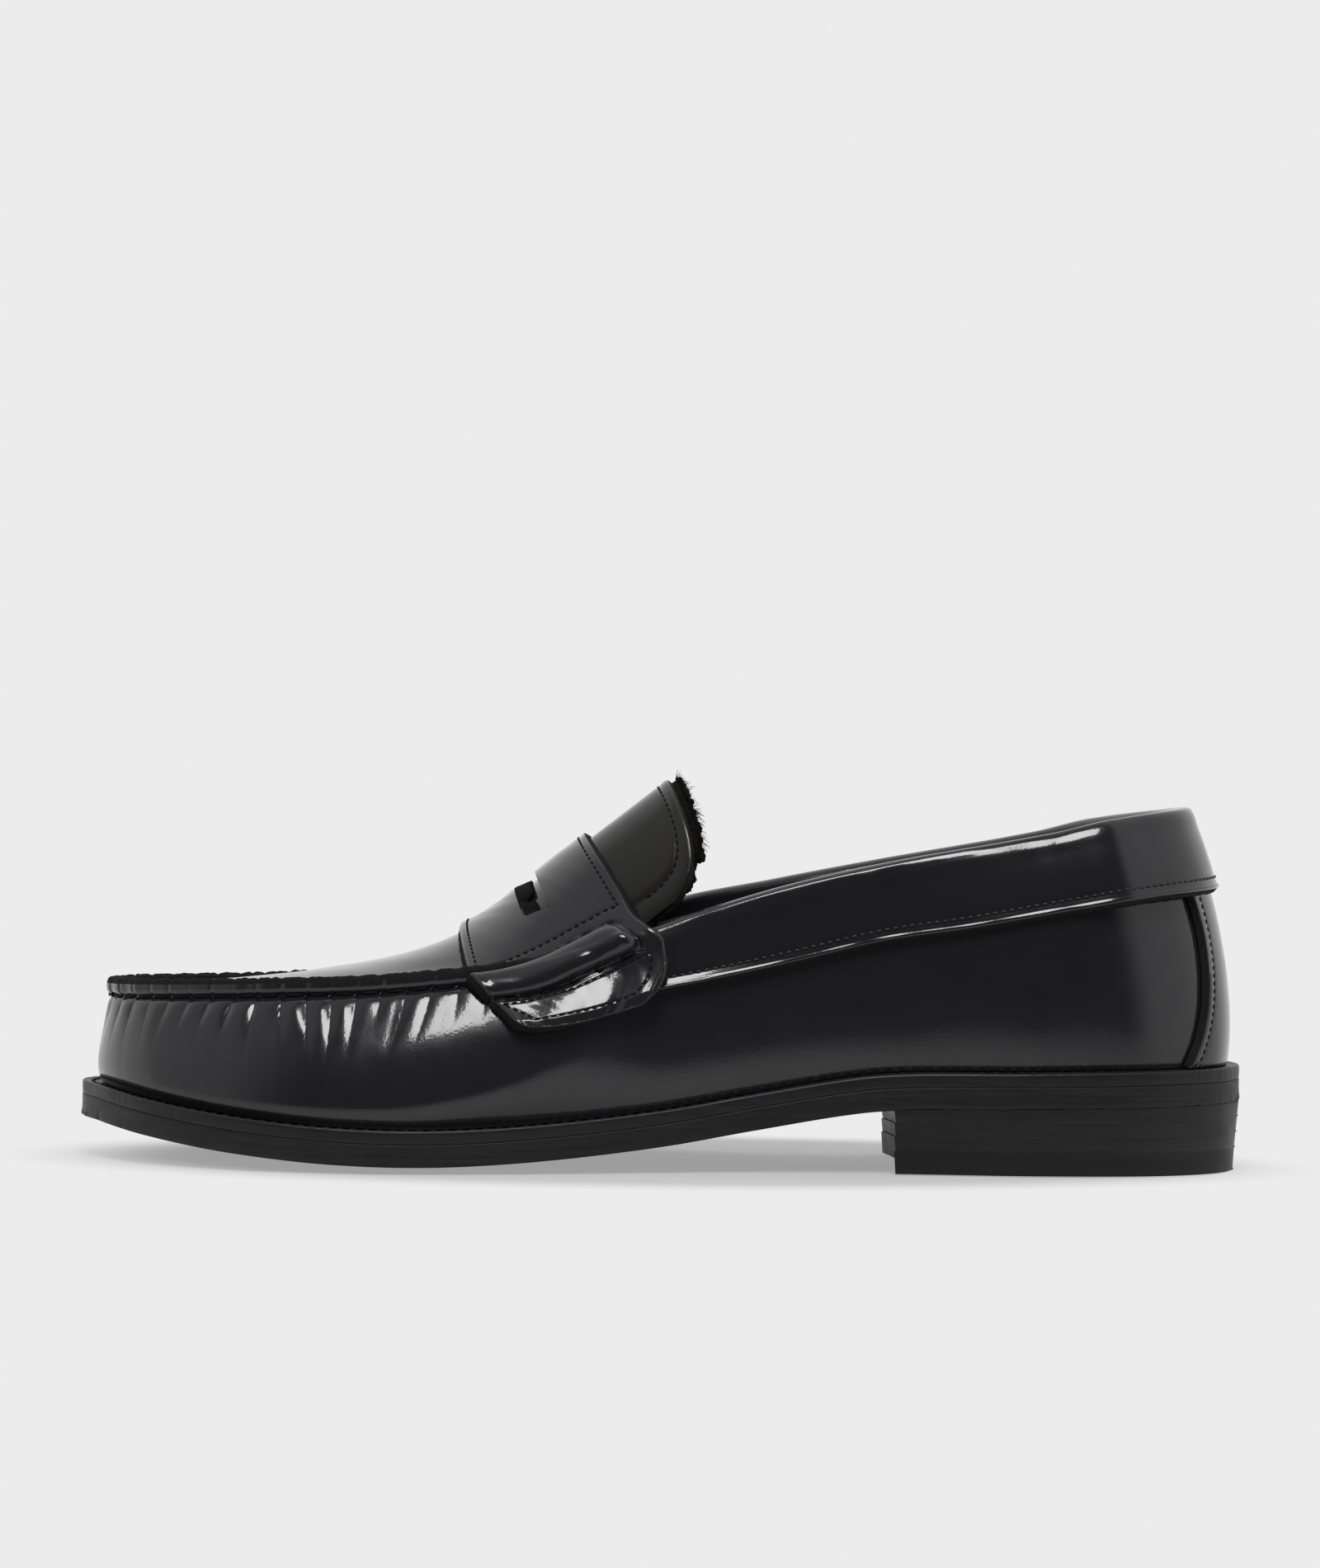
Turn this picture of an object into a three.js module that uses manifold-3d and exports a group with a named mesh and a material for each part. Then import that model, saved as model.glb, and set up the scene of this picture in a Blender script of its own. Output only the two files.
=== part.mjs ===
// A black penny loafer, left foot, as separate leather, cork, steel and rubber pieces.
// Frame: millimetres, +Z up, ground at Z = 0, toe towards -X, heel towards +X, outer side of the foot towards -Y.
// The origin is on the ground under the middle of the sole.
//
// Every piece of the upper lies on one of two smooth surfaces of the last: the wall, which runs right round the
// foot from the welt up to the topline, and the arch, which spans the forefoot between the moccasin seams.
// A place on the wall is (t, h): t goes once round from the back of the heel, h climbs from the welt (0) to the
// top edge (1). A place on the arch is (s, g): s goes from the toe (0) to the front of the mouth (1), and g from
// the outer seam (-1) over the crest (0) to the inner seam (1).

import * as THREE from "three";
import { mergeVertices } from "three/addons/utils/BufferGeometryUtils.js";
import Module from "manifold-3d";

// ---------------------------------------------------------------- driving dimensions, mm
const SOLE_LENGTH = 298;
const WELT_THICKNESS = 3.5;
const OUTSOLE_THICKNESS = 5.6;
const TOP_PIECE_THICKNESS = 5.7;
const HEEL_LIFTS = 3;
const HEEL_BREAST_X = 59; // front face of the heel
const HEEL_TAPER = 1.4; // how far the heel draws in towards the ground
const BREAST_HOLLOW = 3; // the breast is concave
const WELT_WIDTH = 14;
const FEATHER_INSET = 5; // from the sole's edge in to the foot of the upper
const LEATHER = 1.6; // upper leather
const LINING = 1.0;
const GAP = 0.4; // between neighbouring pieces
const SEAM_RIDGE = 4.5; // height of the upright moccasin seam
const ROLL_HEIGHT = 5.2; // the strap's roll over that seam
const TONGUE_REACH = 23; // free length of the tongue behind the strap
const TONGUE_FULLNESS = 3.5; // exponent of the tongue's rounded outline
const INSOLE_THICKNESS = 2.4;
const SOCK_THICKNESS = 1.1;
const HEEL_PAD_THICKNESS = 2;
const THREAD_RADIUS = 0.35;

// ---------------------------------------------------------------- the last, drawn for a 298 mm sole
const GRADE = SOLE_LENGTH / 298;

// Plan of the sole's edge: [x, outer y, inner y] from heel to toe, with the two ends.
const SOLE_PLAN = {
  heel: [149, -4],
  sides: [
    [143.5, -22, 14],
    [127, -34, 26],
    [96, -39, 30.5],
    [62, -37.5, 28],
    [30, -37.5, 28.5],
    [-2, -41.5, 36],
    [-34, -48, 46.5],
    [-70, -52, 52],
    [-105, -46.5, 48.5],
    [-130, -31, 37],
    [-144, -12.5, 21],
  ],
  toe: [-149, 4.5],
};

// Top edge of the wall: [x, outer y, inner y, outer z, inner z]. Behind x = 0 it is the mouth, ahead of it the seam.
const TOP_EDGE = {
  heel: [131.6, -4, 91.6],
  sides: [
    [127.6, -16, 8, 90.8, 90.8],
    [113, -26, 18, 88.2, 88.2],
    [88, -31, 23.5, 83.2, 82.9],
    [60, -32.5, 25.5, 77.8, 77.5],
    [30, -33.5, 28, 70.6, 71.4],
    [0, -34.5, 33, 60.6, 64.6],
    [-26, -36, 38, 50, 52.6],
    [-66, -36, 40, 44.2, 44.4],
    [-100, -31.5, 36.5, 42.4, 41.2],
    [-124, -20.5, 28, 41.4, 40.7],
    [-137.5, -7.5, 16.5, 40.8, 40.7],
  ],
  toe: [-142.4, 4.5, 40.6],
};

// Heights along the shoe, [x, z].
const WELT_TOP = [
  [-149, 19.5],
  [-126, 15.8],
  [-105, 13.1],
  [-80, 11],
  [-55, 10.6],
  [-30, 12],
  [0, 15.4],
  [25, 19.8],
  [50, 24.1],
  [64, 25.2],
  [90, 25.6],
  [149, 26.8],
];
const SOLE_CAMBER = [
  [-149, 0.6],
  [-110, 2],
  [-60, 2.4],
  [-20, 1.8],
  [40, 0],
];
const CREST = [
  [-141, 42.6],
  [-125, 44],
  [-100, 46.2],
  [-80, 49.2],
  [-67, 52],
  [-55, 56.2],
  [-42, 63.4],
  [-29, 74.2],
  [-16, 84.3],
  [-4, 93.7],
];
const CREST_LEAN = [
  [-141, 0],
  [-100, 1],
  [-70, 3.5],
  [-43, 6.5],
  [-20, 11],
  [0, 16],
];
const COLLAR_EDGE = [
  [-6, 43.9],
  [18, 49],
  [34, 52.8],
  [55, 58],
  [76, 61.5],
  [97, 65.7],
  [118, 69.4],
  [145, 72.2],
];

// ---------------------------------------------------------------- small helpers
const UP = new THREE.Vector3(0, 0, 1);
const vec = (x, y, z = 0) => new THREE.Vector3(x, y, z);
const lerp = THREE.MathUtils.lerp;
const clamp = THREE.MathUtils.clamp;
const smooth = THREE.MathUtils.smoothstep;
const turn = (t) => ((t % 1) + 1) % 1;

// A smooth function through [x, value] pairs, level beyond its ends.
function profile(drawn) {
  const keys = drawn.map(([x, value]) => [x * GRADE, value * GRADE]);
  const last = keys.length - 1;
  const slope = keys.map((key, i) => {
    const before = keys[Math.max(i - 1, 0)];
    const after = keys[Math.min(i + 1, last)];
    return (after[1] - before[1]) / (after[0] - before[0]);
  });
  return (x) => {
    if (x <= keys[0][0]) return keys[0][1];
    if (x >= keys[last][0]) return keys[last][1];
    const i = keys.findIndex((key) => key[0] > x) - 1;
    const width = keys[i + 1][0] - keys[i][0];
    const p = (x - keys[i][0]) / width;
    const q = 1 - p;
    return (
      keys[i][1] * q * q * (1 + 2 * p) +
      keys[i + 1][1] * p * p * (3 - 2 * p) +
      (slope[i] * q - slope[i + 1] * p) * p * q * width
    );
  };
}

// A closed curve round the foot: heel, outer side, toe, inner side.
function loop({ heel, sides, toe }) {
  const outer = sides.map(([x, y, , z = 0]) => vec(x, y, z));
  const inner = sides.map(([x, , y, , z = 0]) => vec(x, y, z)).reverse();
  const knots = [vec(...heel), ...outer, vec(...toe), ...inner].map((p) => p.multiplyScalar(GRADE));
  return new THREE.CatmullRomCurve3(knots, true, "centripetal");
}

const sole = loop(SOLE_PLAN);
const topEdge = loop(TOP_EDGE);
const weltTop = profile(WELT_TOP);
const camber = profile(SOLE_CAMBER);
const crest = profile(CREST);
const crestLean = profile(CREST_LEAN);
const collarEdge = profile(COLLAR_EDGE);
const byX = (side) => SOLE_PLAN.sides.map((row) => [row[0], row[side]]).reverse();
const outerSide = profile(byX(1));
const innerSide = profile(byX(2));

// Height of the top of the welt and of everything that follows it, dished across the forefoot.
function bed(x, y) {
  const middle = (outerSide(x) + innerSide(x)) / 2;
  const half = (innerSide(x) - outerSide(x)) / 2;
  const across = clamp((y - middle) / half, -1, 1);
  return weltTop(x) - camber(x) * (1 - across * across);
}

// Horizontal direction out of the sole's edge at t.
function outward(t) {
  const along = sole.getTangent(turn(t));
  return vec(-along.y, along.x).normalize();
}

// A point in plan, moved in from the sole's edge.
const inset = (t, distance) => sole.getPoint(turn(t)).addScaledVector(outward(t), -distance);

// ---------------------------------------------------------------- the two surfaces of the last
function wallPoint(t, h) {
  const out = outward(t);
  const foot = inset(t, FEATHER_INSET);
  foot.z = bed(foot.x, foot.y) + GAP;
  const head = topEdge.getPoint(turn(t));
  if (h > 1) return head.addScaledVector(UP, (h - 1) * SEAM_RIDGE);
  const rise = head.z - foot.z;
  const overhang = Math.hypot(head.x - foot.x, head.y - foot.y);
  const low = foot.clone().addScaledVector(out, 2.7).addScaledVector(UP, 0.3 * rise);
  const fullness = 0.92 - 0.3 * (1 - smooth(Math.min(turn(t), 1 - turn(t)), 0, 0.12));
  const high = head.clone().addScaledVector(out, fullness * overhang).addScaledVector(UP, -0.25 * rise);
  return new THREE.CubicBezierCurve3(foot, low, high, head).getPoint(h);
}

function archPoint(s, g, seamInset = 0) {
  const onSeam = (t) => topEdge.getPoint(t).addScaledVector(outward(t), -seamInset);
  const outer = onSeam(0.5 - 0.25 * s);
  const inner = onSeam(0.5 + 0.25 * s);
  const middle = outer.clone().lerp(inner, 0.5);
  const seam = g < 0 ? outer : inner;
  const x = middle.x - crestLean(middle.x);
  const reach = Math.abs(g);
  const lift = 1 - reach ** 2.4;
  return vec(
    lerp(seam.x, x, lift),
    lerp(middle.y, seam.y, reach),
    lerp(seam.z, Math.max(crest(x), seam.z + 0.5), lift),
  );
}

// The unit normal of a surface that facing points out of.
function normalOf(surface, a, b, facing) {
  const step = 1e-3;
  const across = surface(a + step, b).sub(surface(a - step, b));
  const up = surface(a, b + step).sub(surface(a, b - step));
  const normal = across.cross(up).normalize();
  return normal.dot(facing) < 0 ? normal.negate() : normal;
}

function wall(t, h, offset = 0) {
  const out = outward(t);
  const normal = h > 1 ? out : normalOf(wallPoint, t, Math.min(h, 0.998), out);
  return wallPoint(t, h).addScaledVector(normal, offset);
}

// The h at which the wall is at height z.
function heightOnWall(t, z) {
  let low = 0;
  let high = 1;
  for (let i = 0; i < 20; i++) {
    const middle = (low + high) / 2;
    if (wallPoint(t, middle).z < z) low = middle;
    else high = middle;
  }
  return (low + high) / 2;
}

// The h of the collar's lower edge at t.
const collarFoot = (t) => heightOnWall(t, collarEdge(topEdge.getPoint(turn(t)).x));

// ---------------------------------------------------------------- solids
// A closed skin between two faces of a patch. at(u, v, offset) gives its points, u and v from 0 to 1.
// A ring closes on itself along u.
function shell(columns, rows, at, outer, inner, ring = false) {
  const count = ring ? columns : columns + 1;
  const positions = [];
  for (const offset of [outer, inner])
    for (let i = 0; i < count; i++)
      for (let j = 0; j <= rows; j++) positions.push(...at(i / columns, j / rows, offset).toArray());
  const face = count * (rows + 1);
  const id = (side, i, j) => side * face + (i % count) * (rows + 1) + j;
  const index = [];
  const quad = (a, b, c, d) => index.push(a, b, c, a, c, d);
  for (let i = 0; i < columns; i++) {
    for (let j = 0; j < rows; j++) {
      quad(id(0, i, j), id(0, i + 1, j), id(0, i + 1, j + 1), id(0, i, j + 1));
      quad(id(1, i, j), id(1, i, j + 1), id(1, i + 1, j + 1), id(1, i + 1, j));
    }
    quad(id(0, i, 0), id(1, i, 0), id(1, i + 1, 0), id(0, i + 1, 0));
    quad(id(0, i, rows), id(0, i + 1, rows), id(1, i + 1, rows), id(1, i, rows));
  }
  for (let j = 0; j < rows && !ring; j++) {
    quad(id(0, 0, j), id(0, 0, j + 1), id(1, 0, j + 1), id(1, 0, j));
    quad(id(0, columns, j), id(1, columns, j), id(1, columns, j + 1), id(0, columns, j + 1));
  }
  return facingOut(positions, index);
}

function facingOut(positions, index) {
  const geometry = new THREE.BufferGeometry();
  geometry.setAttribute("position", new THREE.Float32BufferAttribute(positions, 3));
  const corner = (i) => vec(...positions.slice(3 * i, 3 * i + 3));
  let volume = 0;
  for (let i = 0; i < index.length; i += 3)
    volume += corner(index[i]).dot(corner(index[i + 1]).cross(corner(index[i + 2])));
  geometry.setIndex(volume < 0 ? index.slice().reverse() : index);
  geometry.computeVertexNormals();
  return geometry;
}

// A flat-laid piece: rungs across the shoe between the two sides of the sole's plan, moved in by margin,
// from tStart at its heel end to tEnd at its toe end. level(x, y, side) gives its upper (0) and lower (1) faces.
function plate(columns, rows, margin, tStart, tEnd, level, hollow = 0) {
  const at = (u, v, side) => {
    const t = lerp(tStart, tEnd, u);
    const across = inset(t, margin).lerp(inset(1 - t, margin), v);
    across.x += hollow * (1 - (2 * v - 1) ** 2) * u ** 3;
    across.z = level(across.x, across.y, side);
    return across;
  };
  return shell(columns, rows, at, 0, 1);
}

const wasm = await Module();
wasm.setup();

function solidOf(geometry) {
  const bare = geometry.clone();
  for (const name of ["normal", "uv"]) bare.deleteAttribute(name);
  const merged = mergeVertices(bare, 1e-4);
  const vertProperties = new Float32Array(merged.attributes.position.array);
  const triVerts = new Uint32Array(merged.index.array);
  return new wasm.Manifold(new wasm.Mesh({ numProp: 3, vertProperties, triVerts }));
}

function cut(geometry, tools) {
  let solid = solidOf(geometry);
  for (const tool of tools) solid = solid.subtract(solidOf(tool));
  const mesh = solid.getMesh();
  const left = new THREE.BufferGeometry();
  left.setAttribute("position", new THREE.BufferAttribute(new Float32Array(mesh.vertProperties), 3));
  left.setIndex(new THREE.BufferAttribute(new Uint32Array(mesh.triVerts), 1));
  left.computeVertexNormals();
  return left;
}

// A sewn thread as one cord along its seam.
function thread(points, steps) {
  const path = new THREE.CatmullRomCurve3(points, false, "centripetal");
  const section = new THREE.Shape();
  const sides = 4;
  for (let i = 0; i < sides; i++) {
    const angle = (2 * Math.PI * i) / sides;
    section[i ? "lineTo" : "moveTo"](THREAD_RADIUS * Math.cos(angle), THREAD_RADIUS * Math.sin(angle));
  }
  section.closePath();
  return new THREE.ExtrudeGeometry(section, { steps, bevelEnabled: false, extrudePath: path });
}

const along = (count, at) => Array.from({ length: count + 1 }, (_, i) => at(i / count));

// ---------------------------------------------------------------- materials
const finish = (color, roughness, metalness = 0) =>
  new THREE.MeshStandardMaterial({ color, roughness, metalness, side: THREE.DoubleSide });
const glossLeather = finish(0x0b0b0d, 0.16);
const liningLeather = finish(0x1a1512, 0.6);
const suede = finish(0x14110f, 0.95);
const threadBlack = finish(0x08080a, 0.7);
const edgeLeather = finish(0x131315, 0.45);
const rubber = finish(0x101011, 0.8);
const board = finish(0x8a6a48, 0.9);
const cork = finish(0x6b4a2e, 0.95);
const foam = finish(0x2c2a28, 0.95);
const textile = finish(0x2a2724, 0.95);
const steel = finish(0x9a9ca0, 0.35, 1);

const shoe = new THREE.Group();
function add(name, geometry, material, group = shoe) {
  const mesh = new THREE.Mesh(geometry, material);
  mesh.name = name;
  group.add(mesh);
}

// ---------------------------------------------------------------- bottom: outsole, welt, heel
const T_TIP = 0.006; // rungs stop just short of the two ends of the plan
const SOLE_TOTAL = WELT_THICKNESS + OUTSOLE_THICKNESS;
const outsoleTop = (x, y) => bed(x, y) - WELT_THICKNESS - GAP;
const outsoleBottom = (x, y) => Math.max(0, bed(x, y) - SOLE_TOTAL);

function tAtX(x) {
  let low = 0;
  let high = 0.5;
  for (let i = 0; i < 30; i++) {
    const middle = (low + high) / 2;
    if (sole.getPoint(middle).x > x) low = middle;
    else high = middle;
  }
  return low;
}
const T_BREAST = tAtX(HEEL_BREAST_X * GRADE);

const NAIL_PLACES = [
  [80, -24],
  [80, 15],
  [108, -27],
  [108, 19],
  [134, -4],
];
const NAIL_RADIUS = 1.1;
const NAIL_TOP = 21.6;
const NAIL_FOOT = 7;

function nail([x, y], radius, from, to) {
  const sides = 6;
  const body = new THREE.CylinderGeometry(radius, radius, to - from, sides);
  body.rotateX(Math.PI / 2);
  return body.translate(x * GRADE, y * GRADE, (from + to) / 2);
}
const nailHoles = NAIL_PLACES.map((place) => nail(place, NAIL_RADIUS + GAP, NAIL_FOOT - GAP, NAIL_TOP + 4));

add(
  "outsole",
  cut(
    plate(40, 4, 0, T_TIP, 0.5 - T_TIP, (x, y, side) => (side ? outsoleBottom(x, y) : outsoleTop(x, y))),
    nailHoles,
  ),
  edgeLeather,
);

const weltAt = (u, v, side) => {
  const place = inset(u, v * WELT_WIDTH);
  place.z = bed(place.x, place.y) - side * WELT_THICKNESS;
  return place;
};
add("welt", shell(72, 1, weltAt, 0, 1, true), edgeLeather);

// The heel's pieces lie between the breast and the back, each drawn in a little more than the one above.
function heelPiece(margin, levels) {
  const level = (x, y, side) => levels(x, y)[side];
  return plate(11, 2, margin, T_TIP, T_BREAST, level, BREAST_HOLLOW);
}
const stackTop = (x, y) => bed(x, y) - SOLE_TOTAL - GAP;
for (let i = 0; i < HEEL_LIFTS; i++) {
  const floor = TOP_PIECE_THICKNESS + GAP;
  const levels = (x, y) => [
    lerp(floor, stackTop(x, y), (i + 1) / HEEL_LIFTS) - (i + 1 < HEEL_LIFTS ? GAP : 0),
    lerp(floor, stackTop(x, y), i / HEEL_LIFTS),
  ];
  const margin = HEEL_TAPER * (1 - (i + 1) / (HEEL_LIFTS + 1));
  add(`heel_lift_${i + 1}`, cut(heelPiece(margin, levels), nailHoles), edgeLeather);
}
add("top_piece", heelPiece(HEEL_TAPER, () => [TOP_PIECE_THICKNESS, 0]), rubber);
NAIL_PLACES.forEach((place, i) => add(`heel_nail_${i + 1}`, nail(place, NAIL_RADIUS, NAIL_FOOT, NAIL_TOP), steel));

// ---------------------------------------------------------------- inside the bottom
const CORE_MARGIN = WELT_WIDTH + 1;
const CORK_HEEL_X = -8;
const T_CORK = tAtX(CORK_HEEL_X * GRADE);
const coreLevel = (x, y, side) => bed(x, y) - (side ? WELT_THICKNESS - GAP / 2 : GAP);
add("cork_filler", plate(14, 2, CORE_MARGIN, T_CORK, 0.47, coreLevel), cork);

const SHANK = { from: -2, to: 108, width: 16, thickness: 1.3, arch: 0.7 };
const shankAt = (u, v, side) => {
  const x = lerp(SHANK.from, SHANK.to, u) * GRADE;
  const y = -4 * GRADE + (v - 0.5) * SHANK.width;
  const rib = SHANK.arch * (1 - (2 * v - 1) ** 2);
  return vec(x, y, bed(x, y) - WELT_THICKNESS + GAP + rib + (1 - side) * SHANK.thickness);
};
add("shank", shell(12, 2, shankAt, 0, 1), steel);

const INSOLE_MARGIN = FEATHER_INSET + 6.5;
const insoleTop = (x, y) => bed(x, y) + GAP + INSOLE_THICKNESS;
add(
  "insole",
  plate(22, 2, INSOLE_MARGIN, 0.02, 0.485, (x, y, side) => (side ? bed(x, y) + GAP : insoleTop(x, y))),
  board,
);

const PAD_FRONT_X = 70;
const T_PAD = tAtX(PAD_FRONT_X * GRADE);
const padTop = (x, y) => insoleTop(x, y) + GAP + HEEL_PAD_THICKNESS * smooth(x, 66 * GRADE, 84 * GRADE);
const padLevel = (x, y, side) => (side ? insoleTop(x, y) + GAP : padTop(x, y) + 0.15);
add("heel_pad", plate(8, 3, INSOLE_MARGIN + 3, 0.03, T_PAD, padLevel), foam);

const sockLevel = (x, y, side) => padTop(x, y) + GAP + (side ? 0 : SOCK_THICKNESS);
add("sock_lining", plate(22, 2, INSOLE_MARGIN + 1, 0.02, 0.485, sockLevel), liningLeather);

// ---------------------------------------------------------------- wall of the upper
// The vamp is one piece from one side of the heel round the toe to the other. The back strip covers its two ends,
// and each side of the strip curves in at mid height.
const STRIP_EDGE = { foot: 0.066, waist: 0.046, head: 0.066 };
function stripEdge(h) {
  const { foot, waist, head } = STRIP_EDGE;
  const away = 2 * h - 1;
  return waist + ((away < 0 ? foot : head) - waist) * away * away;
}
const STRIP_LAP = 0.014; // how far the vamp runs in under the strip
const SEAM_END = 0.262; // where the moccasin seam runs out, at the front of the mouth
const COLLAR_LAP = 0.12; // how far the vamp runs up behind the collar

// Highest h of the vamp at t: the seam's upright edge in front, a lap behind the collar further back.
function vampHead(t) {
  const side = Math.min(turn(t), 1 - turn(t));
  if (side >= SEAM_END) return 2;
  return Math.min(0.88, collarFoot(t) + COLLAR_LAP);
}

const VAMP_ROWS = 7;
function vampAt(u, v, offset) {
  const seamRow = v > 0.999;
  const guess = lerp(0.06, 0.94, u);
  const onSeam = Math.min(guess, 1 - guess) >= SEAM_END;
  const body = onSeam ? 1 : vampHead(guess);
  const h = onSeam && seamRow ? 2 : body * Math.min(1, onSeam ? (v * VAMP_ROWS) / (VAMP_ROWS - 1) : v);
  const end = stripEdge(Math.min(h, 1)) - STRIP_LAP;
  return wall(lerp(end, 1 - end, u), h, offset);
}
add("vamp", shell(72, VAMP_ROWS, vampAt, 0, -LEATHER), glossLeather);

const stripAt = (u, v, offset) => {
  const h = lerp(0.01, 0.86, v);
  return wall(lerp(-stripEdge(h), stripEdge(h), u), h, offset);
};
add("back_strip", shell(10, 5, stripAt, GAP + LEATHER, GAP), glossLeather);

const COLLAR_FRONT = 0.254;
const COLLAR_STEP = LEATHER + GAP; // the collar stands out by this where it lies over the back strip
const overStrip = (t) => COLLAR_STEP * (1 - smooth(Math.min(turn(t), 1 - turn(t)), 0.1, 0.15));
const collarAt = (u, v, offset) => {
  const t = lerp(COLLAR_FRONT, -COLLAR_FRONT, u);
  return wall(t, lerp(collarFoot(t), 0.995, v), offset + overStrip(t));
};
add("collar", shell(44, 3, collarAt, GAP + LEATHER, GAP), glossLeather);

const tapeAt = (u, v, offset) => wall(lerp(0.235, -0.235, u), lerp(0.9, 0.97, v), offset);
add("topline_tape", shell(28, 1, tapeAt, 0, -0.8), textile);

const STIFFENER = 1.2;
const COUNTER_END = 0.125;
const counterAt = (u, v, offset) => {
  const t = lerp(COUNTER_END, -COUNTER_END, u);
  return wall(t, lerp(0.04, 0.8 - 0.3 * (2 * u - 1) ** 4, v), offset);
};
add("heel_counter", shell(20, 3, counterAt, -LEATHER - GAP - 0.2, -LEATHER - GAP - 0.2 - STIFFENER), board);

const liningAt = (u, v, offset) => {
  const t = lerp(0.24, -0.24, u);
  return wall(t, lerp(0.07, 0.99, v), offset);
};
const LINING_OUTER = -LEATHER - 2 * GAP - STIFFENER - 0.4;
add("quarter_lining", shell(36, 4, liningAt, LINING_OUTER, LINING_OUTER - LINING), liningLeather);

const PUFF_START = 0.4;
const puffAt = (u, v, offset) => wall(lerp(PUFF_START, 1 - PUFF_START, u), lerp(0.08, 0.9, v), offset);
add("toe_puff", shell(18, 3, puffAt, -LEATHER - GAP, -LEATHER - GAP - 0.8), board);

const vampLiningAt = (u, v, offset) => wall(lerp(0.252, 0.748, u), lerp(0.12, 0.9, v), offset);
const VAMP_LINING_OUTER = -LEATHER - 2 * GAP - 1;
add("vamp_lining", shell(30, 3, vampLiningAt, VAMP_LINING_OUTER, VAMP_LINING_OUTER - 0.7), textile);

// ---------------------------------------------------------------- arch of the upper
const APRON_INSET = LEATHER + GAP + 1.4; // the apron's upright edge stands inside the vamp's
const APRON_END = 0.92;
const APRON_ROWS = 10;
function apronAt(u, v, offset) {
  const s = lerp(0.05, APRON_END, u);
  const row = Math.round(v * APRON_ROWS);
  const upright = row === 0 || row === APRON_ROWS;
  const g = clamp(((row - 1) / (APRON_ROWS - 2)) * 2 - 1, -1, 1);
  const surface = (a, b) => archPoint(a, b, APRON_INSET);
  if (!upright && Math.abs(g) < 1)
    return surface(s, g).addScaledVector(normalOf(surface, s, g, UP), offset);
  const t = g < 0 ? 0.5 - 0.25 * s : 0.5 + 0.25 * s;
  const edge = surface(s, g).addScaledVector(outward(t), -offset);
  return upright ? edge.addScaledVector(UP, SEAM_RIDGE - 0.5) : edge.addScaledVector(UP, offset);
}
add("apron", shell(20, APRON_ROWS, apronAt, 0, -1.4), glossLeather);

const apronLiningAt = (u, v, offset) => {
  const s = lerp(0.12, 0.9, u);
  const surface = (a, b) => archPoint(a, b, APRON_INSET);
  const g = lerp(-0.82, 0.82, v);
  return surface(s, g).addScaledVector(normalOf(surface, s, g, UP), offset);
};
add("apron_lining", shell(12, 6, apronLiningAt, -1.4 - 2 * GAP, -1.4 - 2 * GAP - 0.7), textile);

// ---------------------------------------------------------------- saddle strap with its slot
const STRAP_CREST = 0.62; // share of the strap's half length that lies on the arch
const STRAP_FRONT = 0.757; // s of the front edge on the crest
const STRAP_BACK = 0.985;
const WING_FRONT = 0.55; // h of the wing's lower edge, front and back
const WING_BACK = 0.585;
function strapPoint(u, v) {
  const reach = Math.abs(v);
  const side = v < 0 ? -1 : 1;
  const up = Math.min(reach / STRAP_CREST, 1);
  const down = Math.max(reach - STRAP_CREST, 0) / (1 - STRAP_CREST);
  const front = STRAP_FRONT - 0.011 * up * up + 0.057 * down;
  const back = STRAP_BACK + 0.03 * Math.sin(Math.PI * down) - 0.01 * down;
  const s = lerp(front, back, u);
  if (down === 0) return archPoint(s, side * up);
  return wallPoint(0.5 + 0.25 * side * s, lerp(1, lerp(WING_FRONT, WING_BACK, u), down));
}
function strapAt(u, v, offset) {
  const place = 2 * v - 1;
  const roll = ROLL_HEIGHT * Math.exp(-(((Math.abs(place) - STRAP_CREST) / 0.085) ** 2));
  const overCollar = (LEATHER + GAP) * 1.1 * smooth(u, 0.55, 1) * smooth(Math.abs(place), 0.5, 0.66);
  const facing = vec(0, Math.sign(place) * 0.7, 0.7);
  const normal = normalOf(strapPoint, u, place, facing);
  return strapPoint(u, place).addScaledVector(normal, offset + roll + overCollar);
}

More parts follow.
